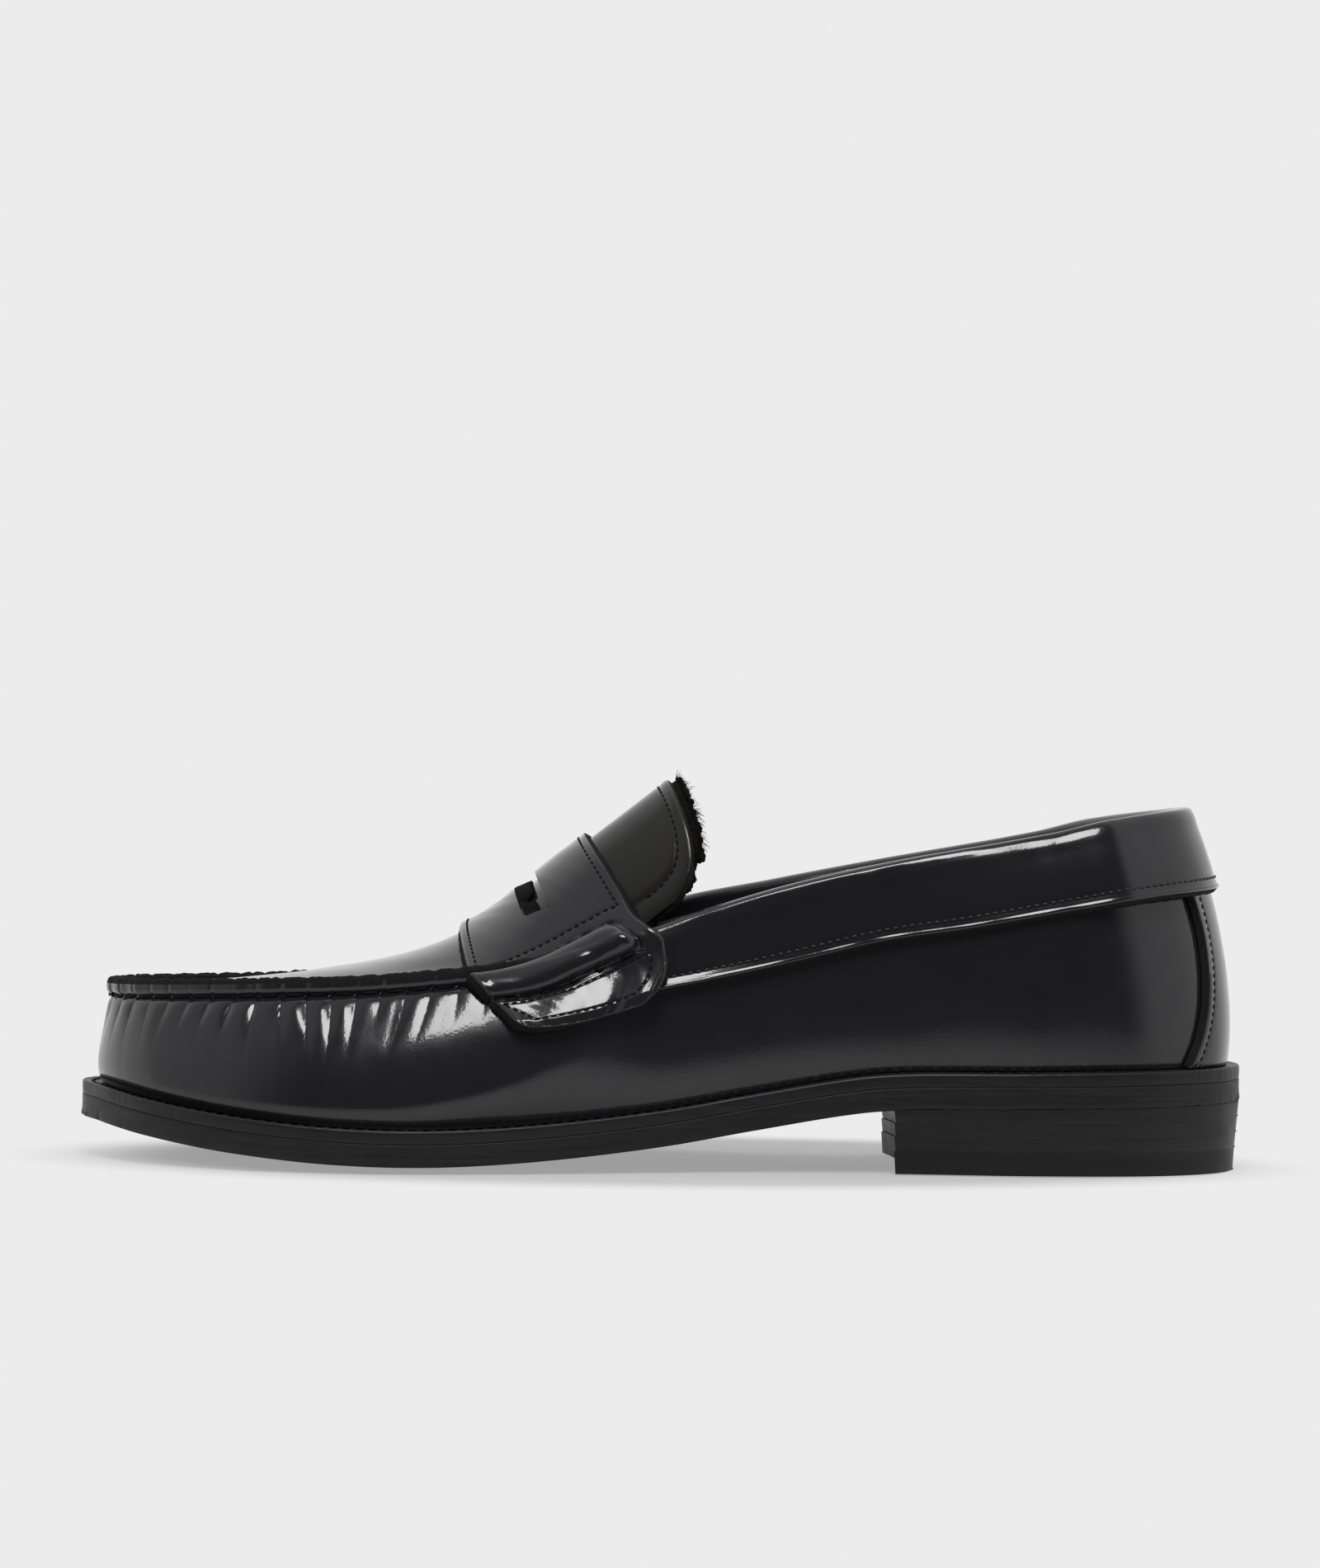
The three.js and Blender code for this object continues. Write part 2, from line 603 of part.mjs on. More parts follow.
// The slot: a long cross slit that bends with the front edge of the strap. Its front side is cut back in a notch
// near each end.
const SLOT_PLACE = 0.41; // share of the way from the strap's front edge to its back edge
const SLOT_HALF_LENGTH = 24;
const SLOT_HALF_WIDTH = 3.3;
const SLOT_BEND = 3;
const SLOT_NOTCH = { place: 18.5, width: 1.8, depth: 1.6 };
function slotTool() {
  const outline = new THREE.Shape();
  const point = (x, y) => [x + SLOT_BEND * (y / SLOT_HALF_LENGTH) ** 2, y];
  const { place, width, depth } = SLOT_NOTCH;
  const front = [-SLOT_HALF_LENGTH, -place - width, -place, -place + width, -8, 0];
  const back = [SLOT_HALF_LENGTH, 16, 8, 0, -8, -16, -SLOT_HALF_LENGTH];
  const ahead = (y) => -SLOT_HALF_WIDTH - (Math.abs(y) === place ? depth : 0);
  for (const y of [...front, ...front.slice(0, -1).reverse().map((v) => -v)]) {
    const corner = point(ahead(y), y);
    if (y === front[0]) outline.moveTo(...corner);
    else outline.lineTo(...corner);
  }
  for (const y of back) outline.lineTo(...point(SLOT_HALF_WIDTH, y));
  const tool = new THREE.ExtrudeGeometry(outline, { depth: 26, bevelEnabled: false }).translate(0, 0, -20);
  const centre = strapPoint(SLOT_PLACE, 0);
  const normal = normalOf(strapPoint, SLOT_PLACE, 0, UP);
  tool.rotateY(Math.atan2(normal.x, normal.z));
  return tool.translate(centre.x, centre.y, centre.z);
}
add("saddle_strap", cut(shell(6, 36, strapAt, GAP + LEATHER, GAP), [slotTool()]), glossLeather);

// ---------------------------------------------------------------- tongue, which lifts about the strap's back edge
const tongue = new THREE.Group();
shoe.add(tongue);
const TONGUE_INSET = 5;
const TONGUE_SLOPE = Math.atan2(crest(-4 * GRADE) - crest(-16 * GRADE), 12 * GRADE);
const tongueWay = vec(Math.cos(TONGUE_SLOPE), 0, Math.sin(TONGUE_SLOPE));
const tonguePoint = (d, g) => archPoint(1, g, TONGUE_INSET).addScaledVector(tongueWay, d);
function tongueAt(u, v, offset) {
  const d = lerp(0.5, TONGUE_REACH * 0.99, u);
  const half = 0.93 * (1 - (d / TONGUE_REACH) ** TONGUE_FULLNESS) ** (1 / TONGUE_FULLNESS);
  const g = lerp(-half, half, v);
  return tonguePoint(d, g).addScaledVector(normalOf(tonguePoint, d, g, UP), offset);
}
add("tongue", shell(8, 12, tongueAt, -0.1, -LEATHER), glossLeather, tongue);
add("tongue_lining", shell(8, 12, tongueAt, -LEATHER - GAP, -LEATHER - GAP - 1.3), suede, tongue);

// ---------------------------------------------------------------- threads
const ABOVE = THREAD_RADIUS + 0.55; // clear of the leather below
const seamPath = along(44, (p) => wall(lerp(0.305, 0.695, p), 0.97, ABOVE + 0.2));
add("seam_thread", thread(seamPath, 44), threadBlack);

const collarPath = along(40, (p) => {
  const t = lerp(0.235, -0.235, p);
  return wall(t, collarFoot(t) + 0.06, GAP + LEATHER + overStrip(t) + ABOVE);
});
add("collar_thread", thread(collarPath, 40), threadBlack);

const strapRow = (u, from, to) =>
  along(28, (p) => strapAt(u, lerp(from, to, p), GAP + LEATHER + ABOVE));
add("strap_front_thread", thread(strapRow(0.1, 0.21, 0.79), 28), threadBlack);
add("strap_back_thread", thread(strapRow(0.88, 0.22, 0.78), 28), threadBlack);

// The box of stitching that holds each wing of the strap.
function boxPath(side) {
  const corners = [
    [0.12, 0.83],
    [0.86, 0.83],
    [0.86, 0.94],
    [0.16, 0.95],
  ];
  return along(20, (p) => {
    const place = p * (corners.length - 1) * 0.999;
    const i = Math.floor(place);
    const [u0, v0] = corners[i];
    const [u1, v1] = corners[i + 1];
    const reach = lerp(v0, v1, place - i);
    return strapAt(lerp(u0, u1, place - i), 0.5 + 0.5 * side * reach, GAP + LEATHER + ABOVE);
  });
}
add("wing_thread_outer", thread(boxPath(-1), 20), threadBlack);
add("wing_thread_inner", thread(boxPath(1), 20), threadBlack);

const tongueEdge = along(20, (p) => {
  const angle = lerp(0.12, Math.PI - 0.12, p);
  const power = 2 / TONGUE_FULLNESS;
  const d = (TONGUE_REACH - 3.2) * Math.sin(angle) ** power;
  const g = -0.82 * Math.sign(Math.cos(angle)) * Math.abs(Math.cos(angle)) ** power;
  return tonguePoint(d, g).addScaledVector(normalOf(tonguePoint, d, g, UP), ABOVE);
});
add("tongue_thread", thread(tongueEdge, 24), threadBlack, tongue);

const backThread = (side) =>
  along(12, (p) => {
    const h = lerp(0.08, 0.6, p);
    const t = stripEdge(h) - 0.006;
    return wall(side * t, h, LEATHER + GAP + ABOVE);
  });
add("back_thread_outer", thread(backThread(1), 12), threadBlack);
add("back_thread_inner", thread(backThread(-1), 12), threadBlack);

const WELT_SEAM = 2.6; // from the welt's edge
const weltPath = along(56, (p) => {
  const place = inset(lerp(0.09, 0.91, p), WELT_SEAM);
  place.z = bed(place.x, place.y) + ABOVE;
  return place;
});
add("welt_thread", thread(weltPath, 56), threadBlack);

export default shoe;
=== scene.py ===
"""A black penny loafer, left foot: the looks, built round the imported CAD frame."""

import math

import bpy
import numpy as np
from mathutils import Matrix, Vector


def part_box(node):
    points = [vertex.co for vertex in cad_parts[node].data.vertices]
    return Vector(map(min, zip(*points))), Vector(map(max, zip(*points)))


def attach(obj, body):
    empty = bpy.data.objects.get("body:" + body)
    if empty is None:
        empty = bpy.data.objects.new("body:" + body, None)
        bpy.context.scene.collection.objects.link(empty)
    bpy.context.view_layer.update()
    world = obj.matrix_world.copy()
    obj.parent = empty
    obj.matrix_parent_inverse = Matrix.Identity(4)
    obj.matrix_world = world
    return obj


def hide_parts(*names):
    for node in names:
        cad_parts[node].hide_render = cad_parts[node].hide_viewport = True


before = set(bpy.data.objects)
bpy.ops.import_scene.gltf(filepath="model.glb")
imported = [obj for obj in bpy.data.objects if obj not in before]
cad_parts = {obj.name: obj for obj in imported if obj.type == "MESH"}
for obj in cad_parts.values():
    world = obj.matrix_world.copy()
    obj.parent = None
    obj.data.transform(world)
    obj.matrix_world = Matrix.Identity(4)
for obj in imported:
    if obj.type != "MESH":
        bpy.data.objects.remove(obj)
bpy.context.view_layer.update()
random = np.random.default_rng(11)

# ---------------------------------------------------------------- the last, in mm for a 298 mm sole
# A place on the upper has two numbers. On the wall, t runs once round the foot, from the heel past the outer
# side and the toe, and h from the welt up to the moccasin seam. On the arch over the foot, s runs from the
# toe, at 0, to the strap's back edge, at 1, and g from -1 at the outer seam to 1 at the inner one.
# A plan is the heel end, rows of x, outer y, inner y (and outer z, inner z) towards the toe, and the toe end.
SOLE_PLAN = ([149, -4],
    [[143.5, -22, 14], [127, -34, 26], [96, -39, 30.5], [62, -37.5, 28], [30, -37.5, 28.5], [-2, -41.5, 36],
     [-34, -48, 46.5], [-70, -52, 52], [-105, -46.5, 48.5], [-130, -31, 37], [-144, -12.5, 21]],
    [-149, 4.5])
TOP_EDGE = ([131.6, -4, 91.6],
    [[127.6, -16, 8, 90.8, 90.8], [113, -26, 18, 88.2, 88.2], [88, -31, 23.5, 83.2, 82.9],
     [60, -32.5, 25.5, 77.8, 77.5], [30, -33.5, 28, 70.6, 71.4], [0, -34.5, 33, 60.6, 64.6],
     [-26, -36, 38, 50, 52.6], [-66, -36, 40, 44.2, 44.4], [-100, -31.5, 36.5, 42.4, 41.2],
     [-124, -20.5, 28, 41.4, 40.7], [-137.5, -7.5, 16.5, 40.8, 40.7]],
    [-142.4, 4.5, 40.6])
# Measures along the shoe, as (x, value).
WELT_TOP = [[-149, 19.5], [-126, 15.8], [-105, 13.1], [-80, 11], [-55, 10.6], [-30, 12], [0, 15.4],
            [25, 19.8], [50, 24.1], [64, 25.2], [90, 25.6], [149, 26.8]]
SOLE_CAMBER = [[-149, 0.6], [-110, 2], [-60, 2.4], [-20, 1.8], [40, 0]]
CREST = [[-141, 42.6], [-125, 44], [-100, 46.2], [-80, 49.2], [-67, 52], [-55, 56.2], [-42, 63.4],
         [-29, 74.2], [-16, 84.3], [-4, 93.7]]
CREST_LEAN = [[-141, 0], [-100, 1], [-70, 3.5], [-43, 6.5], [-20, 11], [0, 16]]
COLLAR_EDGE = [[-6, 43.9], [18, 49], [34, 52.8], [55, 58], [76, 61.5], [97, 65.7], [118, 69.4], [145, 72.2]]

WELT_THICKNESS = 3.5
OUTSOLE_THICKNESS = 5.6
SOLE_TOTAL = WELT_THICKNESS + OUTSOLE_THICKNESS
FEATHER_INSET = 5.0
LEATHER = 1.6
GAP = 0.4
SEAM_RIDGE = 4.5
TONGUE_REACH = 23.0
TONGUE_FULLNESS = 3.5
TONGUE_HALF = 0.97
TONGUE_INSET = 5.0


def profile(drawn):
    """A smooth function through (x, value) pairs, level beyond its ends."""
    x0 = np.array([k[0] for k in drawn], float)
    y0 = np.array([k[1] for k in drawn], float)
    n = len(x0) - 1
    slope = np.array([(y0[min(i + 1, n)] - y0[max(i - 1, 0)]) / (x0[min(i + 1, n)] - x0[max(i - 1, 0)])
                      for i in range(n + 1)])

    def value(x):
        x = np.clip(np.asarray(x, float), x0[0], x0[-1])
        i = np.clip(np.searchsorted(x0, x, side="right") - 1, 0, n - 1)
        w = x0[i + 1] - x0[i]
        p = (x - x0[i]) / w
        q = 1 - p
        return (y0[i] * q * q * (1 + 2 * p) + y0[i + 1] * p * p * (3 - 2 * p)
                + (slope[i] * q - slope[i + 1] * p) * p * q * w)

    return value


class Loop:
    """A closed centripetal Catmull-Rom curve round the foot: heel, outer side, toe, inner side."""

    def __init__(self, plan):
        heel, sides, toe = plan
        outer = [[s[0], s[1], s[3] if len(s) > 3 else 0] for s in sides]
        inner = [[s[0], s[2], s[4] if len(s) > 4 else 0] for s in sides][::-1]
        ends = [list(e) + [0] * (3 - len(e)) for e in (heel, toe)]
        self.knots = np.array([ends[0], *outer, ends[1], *inner], float)

    def __call__(self, t):
        k, n = self.knots, len(self.knots)
        p = np.mod(np.asarray(t, float), 1.0) * n
        i = np.floor(p).astype(int) % n
        w = (p - np.floor(p))[..., None]
        p0, p1, p2, p3 = k[(i - 1) % n], k[i], k[(i + 1) % n], k[(i + 2) % n]
        d0, d1, d2 = (np.sqrt(np.linalg.norm(b - a, axis=-1))[..., None]
                      for a, b in ((p0, p1), (p1, p2), (p2, p3)))
        m1 = ((p1 - p0) / d0 - (p2 - p0) / (d0 + d1) + (p2 - p1) / d1) * d1
        m2 = ((p2 - p1) / d1 - (p3 - p1) / (d1 + d2) + (p3 - p2) / d2) * d1
        return p1 + m1 * w + (-3 * p1 + 3 * p2 - 2 * m1 - m2) * w**2 + (2 * p1 - 2 * p2 + m1 + m2) * w**3


sole, top_edge = Loop(SOLE_PLAN), Loop(TOP_EDGE)
welt_top, camber, crest, crest_lean, collar_edge = map(
    profile, (WELT_TOP, SOLE_CAMBER, CREST, CREST_LEAN, COLLAR_EDGE))
outer_side = profile([[s[0], s[1]] for s in SOLE_PLAN[1]][::-1])
inner_side = profile([[s[0], s[2]] for s in SOLE_PLAN[1]][::-1])
UP = np.array([0.0, 0.0, 1.0])


def lerp(a, b, p):
    return a + (b - a) * p


def smooth(x, a, b):
    p = np.clip((np.asarray(x, float) - a) / (b - a), 0, 1)
    return p * p * (3 - 2 * p)


def bell(x, width=1.0, power=2):
    """1 where x is 0, falling away smoothly over a width."""
    return np.exp(-((x / width) ** power))


def unit(v):
    return v / np.maximum(np.linalg.norm(v, axis=-1, keepdims=True), 1e-12)


def xyz(x, y, z):
    return np.stack(np.broadcast_arrays(np.asarray(x, float), y, z), axis=-1)


def bed(x, y):
    """Top of the welt, dished across the forefoot."""
    middle = (outer_side(x) + inner_side(x)) / 2
    half = (inner_side(x) - outer_side(x)) / 2
    across = np.clip((y - middle) / half, -1, 1)
    return welt_top(x) - camber(x) * (1 - across**2)


def outward(t):
    along = unit(sole(np.asarray(t) + 1e-4) - sole(np.asarray(t) - 1e-4))
    return xyz(-along[..., 1], along[..., 0], 0)


def inset(t, distance):
    return sole(t) - outward(t) * np.asarray(distance, float)[..., None]


FOREPART = 0.27, 0.31  # over these t the wall passes from the heel's shape to the more upright forepart's
# Its curve's handles, at the rear and in front.
LOW_OUT, LOW_UP, HIGH_DOWN = (2.7, 2.9), (0.3, 0.2), (0.25, 0.45)
WALL_FULLNESS, HEEL_SLACK, HEEL_END = 0.92, 0.3, 0.12


def wall_point(t, h):
    """The wall is a cubic curve from the welt up to its top edge, and the seam's ridge stands above it."""
    t, h = np.broadcast_arrays(np.asarray(t, float), np.asarray(h, float))
    out = outward(t)
    foot = inset(t, FEATHER_INSET)
    foot[..., 2] = bed(foot[..., 0], foot[..., 1]) + GAP
    head = top_edge(t)
    rise = (head[..., 2] - foot[..., 2])[..., None]
    over = np.hypot(head[..., 0] - foot[..., 0], head[..., 1] - foot[..., 1])[..., None]
    front = smooth(side_of(t), *FOREPART)[..., None]
    low = foot + out * lerp(*LOW_OUT, front) + UP * lerp(*LOW_UP, front) * rise
    fullness = WALL_FULLNESS - HEEL_SLACK * (1 - smooth(side_of(t), 0, HEEL_END))[..., None]
    high = head + out * fullness * over - UP * lerp(*HIGH_DOWN, front) * rise
    w = np.clip(h, 0, 1)[..., None]
    v = 1 - w
    point = foot * v**3 + 3 * low * v * v * w + 3 * high * v * w * w + head * w**3
    return point + UP * (np.maximum(h - 1, 0) * SEAM_RIDGE)[..., None]


def normal_of(surface, a, b, facing, step=1e-3):
    """The normal of a surface of two numbers, on the side that facing points to."""
    n = unit(np.cross(surface(a + step, b) - surface(a - step, b),
                      surface(a, b + step) - surface(a, b - step)))
    return np.where((n * facing).sum(-1, keepdims=True) < 0, -n, n)


def wall_normal(t, h):
    return normal_of(wall_point, t, np.minimum(h, 0.998), outward(t))


def wall(t, h, off=0.0):
    """A place off mm out from the wall."""
    t, h, off = np.broadcast_arrays(np.asarray(t, float), h, off)
    return wall_point(t, h) + wall_normal(t, h) * off[..., None]


def height_on_wall(t, z):
    """The h at which the wall reaches a height."""
    low, high = np.zeros_like(t), np.ones_like(t)
    for _ in range(20):
        mid = (low + high) / 2
        below = wall_point(t, mid)[..., 2] < z
        low, high = np.where(below, mid, low), np.where(below, high, mid)
    return (low + high) / 2


def collar_foot(t):
    t = np.asarray(t, float)
    return height_on_wall(t, collar_edge(top_edge(t)[..., 0]))


def side_of(t):
    t = np.mod(t, 1.0)
    return np.minimum(t, 1 - t)


ARCH_POWER = 2.4  # how full the arch is: 2 would be a parabola


def seam_t(s, side):
    """The t of the moccasin seam beside the arch's place s, on one side (-1 outer, 1 inner)."""
    return 0.5 + 0.25 * side * s


def arch_point(s, g, seam_inset=0.0):
    s, g = np.broadcast_arrays(np.asarray(s, float), np.asarray(g, float))

    def on_seam(t):
        return top_edge(t) - outward(t) * seam_inset

    outer, inner = on_seam(seam_t(s, -1)), on_seam(seam_t(s, 1))
    middle = (outer + inner) / 2
    seam = np.where((g < 0)[..., None], outer, inner)
    x = middle[..., 0] - crest_lean(middle[..., 0])
    reach = np.abs(g)
    lift = 1 - reach**ARCH_POWER
    return xyz(lerp(seam[..., 0], x, lift), lerp(middle[..., 1], seam[..., 1], reach),
               lerp(seam[..., 2], np.maximum(crest(x), seam[..., 2] + 0.5), lift))

_lo, _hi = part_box("welt")
MM = (_hi.x - _lo.x) / 298.0  # metres to one millimetre of the drawing


# ---------------------------------------------------------------- meshes
def grid_faces(n, m, start=0, ring=False):
    i = np.arange(n if ring else n - 1)[:, None]
    j = np.arange(m - 1)[None, :]
    i2 = (i + 1) % n
    a, b, c, d = (start + x * m + y for x, y in ((i, j), (i2, j), (i2, j + 1), (i, j + 1)))
    return np.stack(np.broadcast_arrays(a, b, c, d), -1).reshape(-1, 4)


def loop_faces(a, b):
    """Quads between two closed loops of vertex numbers."""
    return np.stack([a, np.roll(a, -1), np.roll(b, -1), b], -1)


def make(name, points, quads, materials, body="shoe", slot=None, stands_for=(), kinds=None, facing=None):
    """One piece from points in mm and quads. facing gives the outward direction at the points."""
    points = np.asarray(points, float).reshape(-1, 3)
    quads = np.asarray(quads, int)
    if facing is not None:
        p = points[quads]
        n = np.cross(p[:, 2] - p[:, 0], p[:, 3] - p[:, 1])
        if (n * np.asarray(facing).reshape(-1, 3)[quads].mean(1)).sum() < 0:
            quads = quads[:, ::-1]
    mesh = bpy.data.meshes.new(name)
    mesh.vertices.add(len(points))
    mesh.vertices.foreach_set("co", (points * MM).astype(np.float32).ravel())
    mesh.loops.add(quads.size)
    mesh.loops.foreach_set("vertex_index", quads.ravel().astype(np.int32))
    mesh.polygons.add(len(quads))
    mesh.polygons.foreach_set("loop_start", np.arange(0, quads.size, 4, dtype=np.int32))
    mesh.polygons.foreach_set("use_smooth", np.ones(len(quads), bool))
    for material in materials:
        mesh.materials.append(material)
    if kinds is not None:
        mesh.polygons.foreach_set("material_index", np.asarray(kinds, np.int32))
    mesh.update()
    mesh.validate()
    piece = bpy.data.objects.new(name, mesh)
    bpy.context.scene.collection.objects.link(piece)
    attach(piece, body)
    if stands_for:
        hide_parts(*stands_for)
    return piece


# The section of a cut edge, as (reach outwards, offset) in mm.
RAW_EDGE = [(-0.55, 0.0), (-0.3, -0.03), (-0.1, -0.14), (0.02, -0.36), (0.16, -0.75), (0.5, -1.25),
            (0.7, -1.6)]


def border(n, m):
    """The vertex numbers round the edge of an n by m grid."""
    number = np.arange(n * m).reshape(n, m)
    return np.concatenate([number[:-1, 0], number[-1, :-1], number[:0:-1, -1], number[0, :0:-1]])


def run_along(points):
    """The distance along a broken line to each of its points."""
    return np.concatenate([[0], np.cumsum(np.linalg.norm(np.diff(points, axis=0), axis=1))])


def places_at(points, run, at):
    """The places on a broken line at some distances along it."""
    return np.stack([np.interp(at, run, column) for column in points.T], 1)


def outline_normals(edge):
    tangent = np.roll(edge, -1, 0) - np.roll(edge, 1, 0)
    n = np.stack([tangent[:, 1], -tangent[:, 0]], 1)
    area = (edge[:, 0] * np.roll(edge[:, 1], -1) - np.roll(edge[:, 0], -1) * edge[:, 1]).sum()
    return n * np.sign(area) / np.maximum(np.linalg.norm(n, axis=1, keepdims=True), 1e-9)


def panel(name, domain, surf, rim, materials, raw_from=3, ragged=0.1, holes=(), **kw):
    """A cut leather panel. domain is a grid of flat places (mm); surf(places, offset) lays them on the shoe.
    rim is the edge's section, as (reach outwards, offset) pairs; faces past raw_from take the second
    material, and holes are tests of flat places that cut faces out."""
    n, m = domain.shape[:2]
    flat = domain.reshape(-1, 2).copy()
    loop = border(n, m)
    edge = flat[loop].copy()
    out = outline_normals(edge)
    flat[loop] = edge + out * rim[0][0]
    wobble = random.normal(size=len(loop))
    wobble = (wobble + np.roll(wobble, 1) + np.roll(wobble, -1)) / 3
    points, quads, kinds = [surf(flat, 0.0)], [grid_faces(n, m)], [np.zeros((n - 1) * (m - 1))]
    before, count = loop, n * m
    for k, (reach, off) in enumerate(rim[1:], 1):
        rough = ragged * wobble[:, None] * (k >= raw_from)
        points.append(surf(edge + out * (reach + rough), off))
        ring = np.arange(count, count + len(loop))
        quads.append(loop_faces(before, ring))
        kinds.append(np.full(len(loop), int(k >= raw_from)))
        before, count = ring, count + len(loop)
    outer = np.concatenate(points)
    lower = np.concatenate([surf(flat, -1.0)] + [surf(edge + out * rim[0][0], -1.0)] * (len(rim) - 1))
    facing = outer - lower
    quads, kinds = np.concatenate(quads), np.concatenate(kinds)
    keep = np.ones(len(quads), bool)
    for inside in holes:
        centre = np.concatenate([flat, np.full((len(outer) - len(flat), 2), 1e6)])[quads].mean(1)
        keep &= ~inside(centre)
    return make(name, outer, quads[keep], materials, kinds=kinds[keep], facing=facing, **kw)


def rungs(t, count, margin=0.0):
    """Places in plan across the shoe, between the sides at t and 1 - t."""
    a, b = inset(t, margin), inset(1 - t, margin)
    v = np.linspace(0, 1, count)[None, :, None]
    return (a[:, None] * (1 - v) + b[:, None] * v)[..., :2]


def slab(name, plan, top, bottom, section, materials, ragged=0.0, edge_kind=0, **kw):
    """A closed flat-laid piece. section is its edge as (reach outwards, share of the way down) pairs."""
    n, m = plan.shape[:2]
    flat = plan.reshape(-1, 2).copy()
    loop = border(n, m)
    edge = flat[loop].copy()
    out = outline_normals(edge)

    def place(p, share):
        z = lerp(top(p[:, 0], p[:, 1]), bottom(p[:, 0], p[:, 1]), share)
        return xyz(p[:, 0], p[:, 1], z)

    rough = random.normal(size=(len(loop), 1))
    points, quads, kinds = [], [], []
    flat[loop] = edge + out * section[0][0]
    points.append(place(flat, 0.0))
    quads.append(grid_faces(n, m))
    kinds.append(np.zeros((n - 1) * (m - 1)))
    before, count = loop, n * m
    for reach, share in section[1:-1]:
        points.append(place(edge + out * (reach + ragged * rough * share**4), share))
        ring = np.arange(count, count + len(loop))
        quads.append(loop_faces(before, ring))
        kinds.append(np.full(len(loop), edge_kind))
        before, count = ring, count + len(loop)
    flat[loop] = edge + out * section[-1][0]
    points.append(place(flat, 1.0))
    quads.append(loop_faces(before, loop + count))
    kinds.append(np.full(len(loop), edge_kind))
    quads.append(grid_faces(n, m, count)[:, ::-1])
    kinds.append(np.zeros((n - 1) * (m - 1)))
    points, quads = np.concatenate(points), np.concatenate(quads)
    facing = points - points.mean(0)
    facing[:n * m] = UP
    facing[-n * m:] = -UP
    return make(name, points, quads, materials, kinds=np.concatenate(kinds), facing=facing, **kw)


def sweep(name, rows, materials, facing, ring=False, kinds=None, **kw):
    """A skin over a grid of points (columns, places across, 3); ring joins its last column to its first."""
    n, m = rows.shape[:2]
    quads = grid_faces(n, m, ring=ring)
    if kinds is not None:
        kinds = np.broadcast_to(np.asarray(kinds)[None, :], (n if ring else n - 1, m - 1)).reshape(-1)
    return make(name, rows, quads, materials, kinds=kinds, facing=facing, **kw)


# ---------------------------------------------------------------- stitches
def resample(points, normals, spacing):
    """Places at an even spacing along a line, with the normals there."""
    run = run_along(points)
    at = np.linspace(0, run[-1], max(2, int(round(run[-1] / spacing)) + 1))
    return places_at(points, run, at), unit(places_at(normals, run, at))


def tubes(name, centres, radii, material, sides=6, **kw):
    """Many short cords as one piece. centres is (cords, places, 3), radii (cords, places)."""
    n, m = centres.shape[:2]
    along = unit(np.gradient(centres, axis=1))
    side = unit(np.cross(along, UP + 1e-3))
    over = np.cross(along, side)
    angle = np.linspace(0, 2 * np.pi, sides, endpoint=False)[:, None]
    ring = side[:, :, None] * np.cos(angle) + over[:, :, None] * np.sin(angle)
    points = centres[:, :, None] + ring * radii[:, :, None, None]
    base = np.arange(n)[:, None, None] * m * sides + np.arange(m - 1)[None, :, None] * sides
    k = np.arange(sides)[None, None, :]
    a, b = base + k, base + (k + 1) % sides
    quads = np.stack([a, b, b + sides, a + sides], -1).reshape(-1, 4)
    return make(name, points, quads, [material], facing=points - centres[:, :, None], **kw)


def thread_taper(q, power, least):
    """A thread's radius along it, as a share, drawn in at both ends."""
    return np.sqrt(np.clip(1 - (2 * q - 1) ** power, least, 1))


def stitches(name, points, normals, material, pitch=2.1, radius=0.27, fill=0.72, sink=0.22, rise=0.1, **kw):
    """A row of separate stitches that dive into the leather at both ends."""
    p, n = resample(points, normals, pitch)
    q = np.linspace(0, 1, 7)
    a, reach, mid = p[:-1], (p[1:] - p[:-1]) * fill, (n[:-1] + n[1:]) / 2
    height = -sink + (sink + rise) * np.sin(np.pi * q)
    centres = a[:, None] + reach[:, None] * q[None, :, None] + mid[:, None] * height[None, :, None]
    radii = np.tile(radius * thread_taper(q, 6, 0.05), (len(a), 1))
    return tubes(name, centres, radii, material, slot="thread", **kw)


def on_line(surf, corners, spacing=0.4):
    """3-D points and normals along a broken line of flat places."""
    corners = np.asarray(corners, float)
    run = run_along(corners)
    flat = places_at(corners, run, np.linspace(0, run[-1], max(2, int(run[-1] / spacing))))
    p = surf(flat, 0.0)
    return p, unit(surf(flat, 0.5) - p)


def distance_to(flat, corners):
    """Distance from flat places to a broken line."""
    best = np.full(len(flat), 1e9)
    corners = np.asarray(corners, float)
    for a, b in zip(corners[:-1], corners[1:]):
        ab = b - a
        q = np.clip(((flat - a) @ ab) / (ab @ ab), 0, 1)[:, None]
        best = np.minimum(best, np.linalg.norm(flat - a - q * ab, axis=1))
    return best


def trench(distance, depth=0.22, width=0.55):
    """The dip that a line of stitches or a crease presses into the leather."""
    return -depth * bell(distance, width)

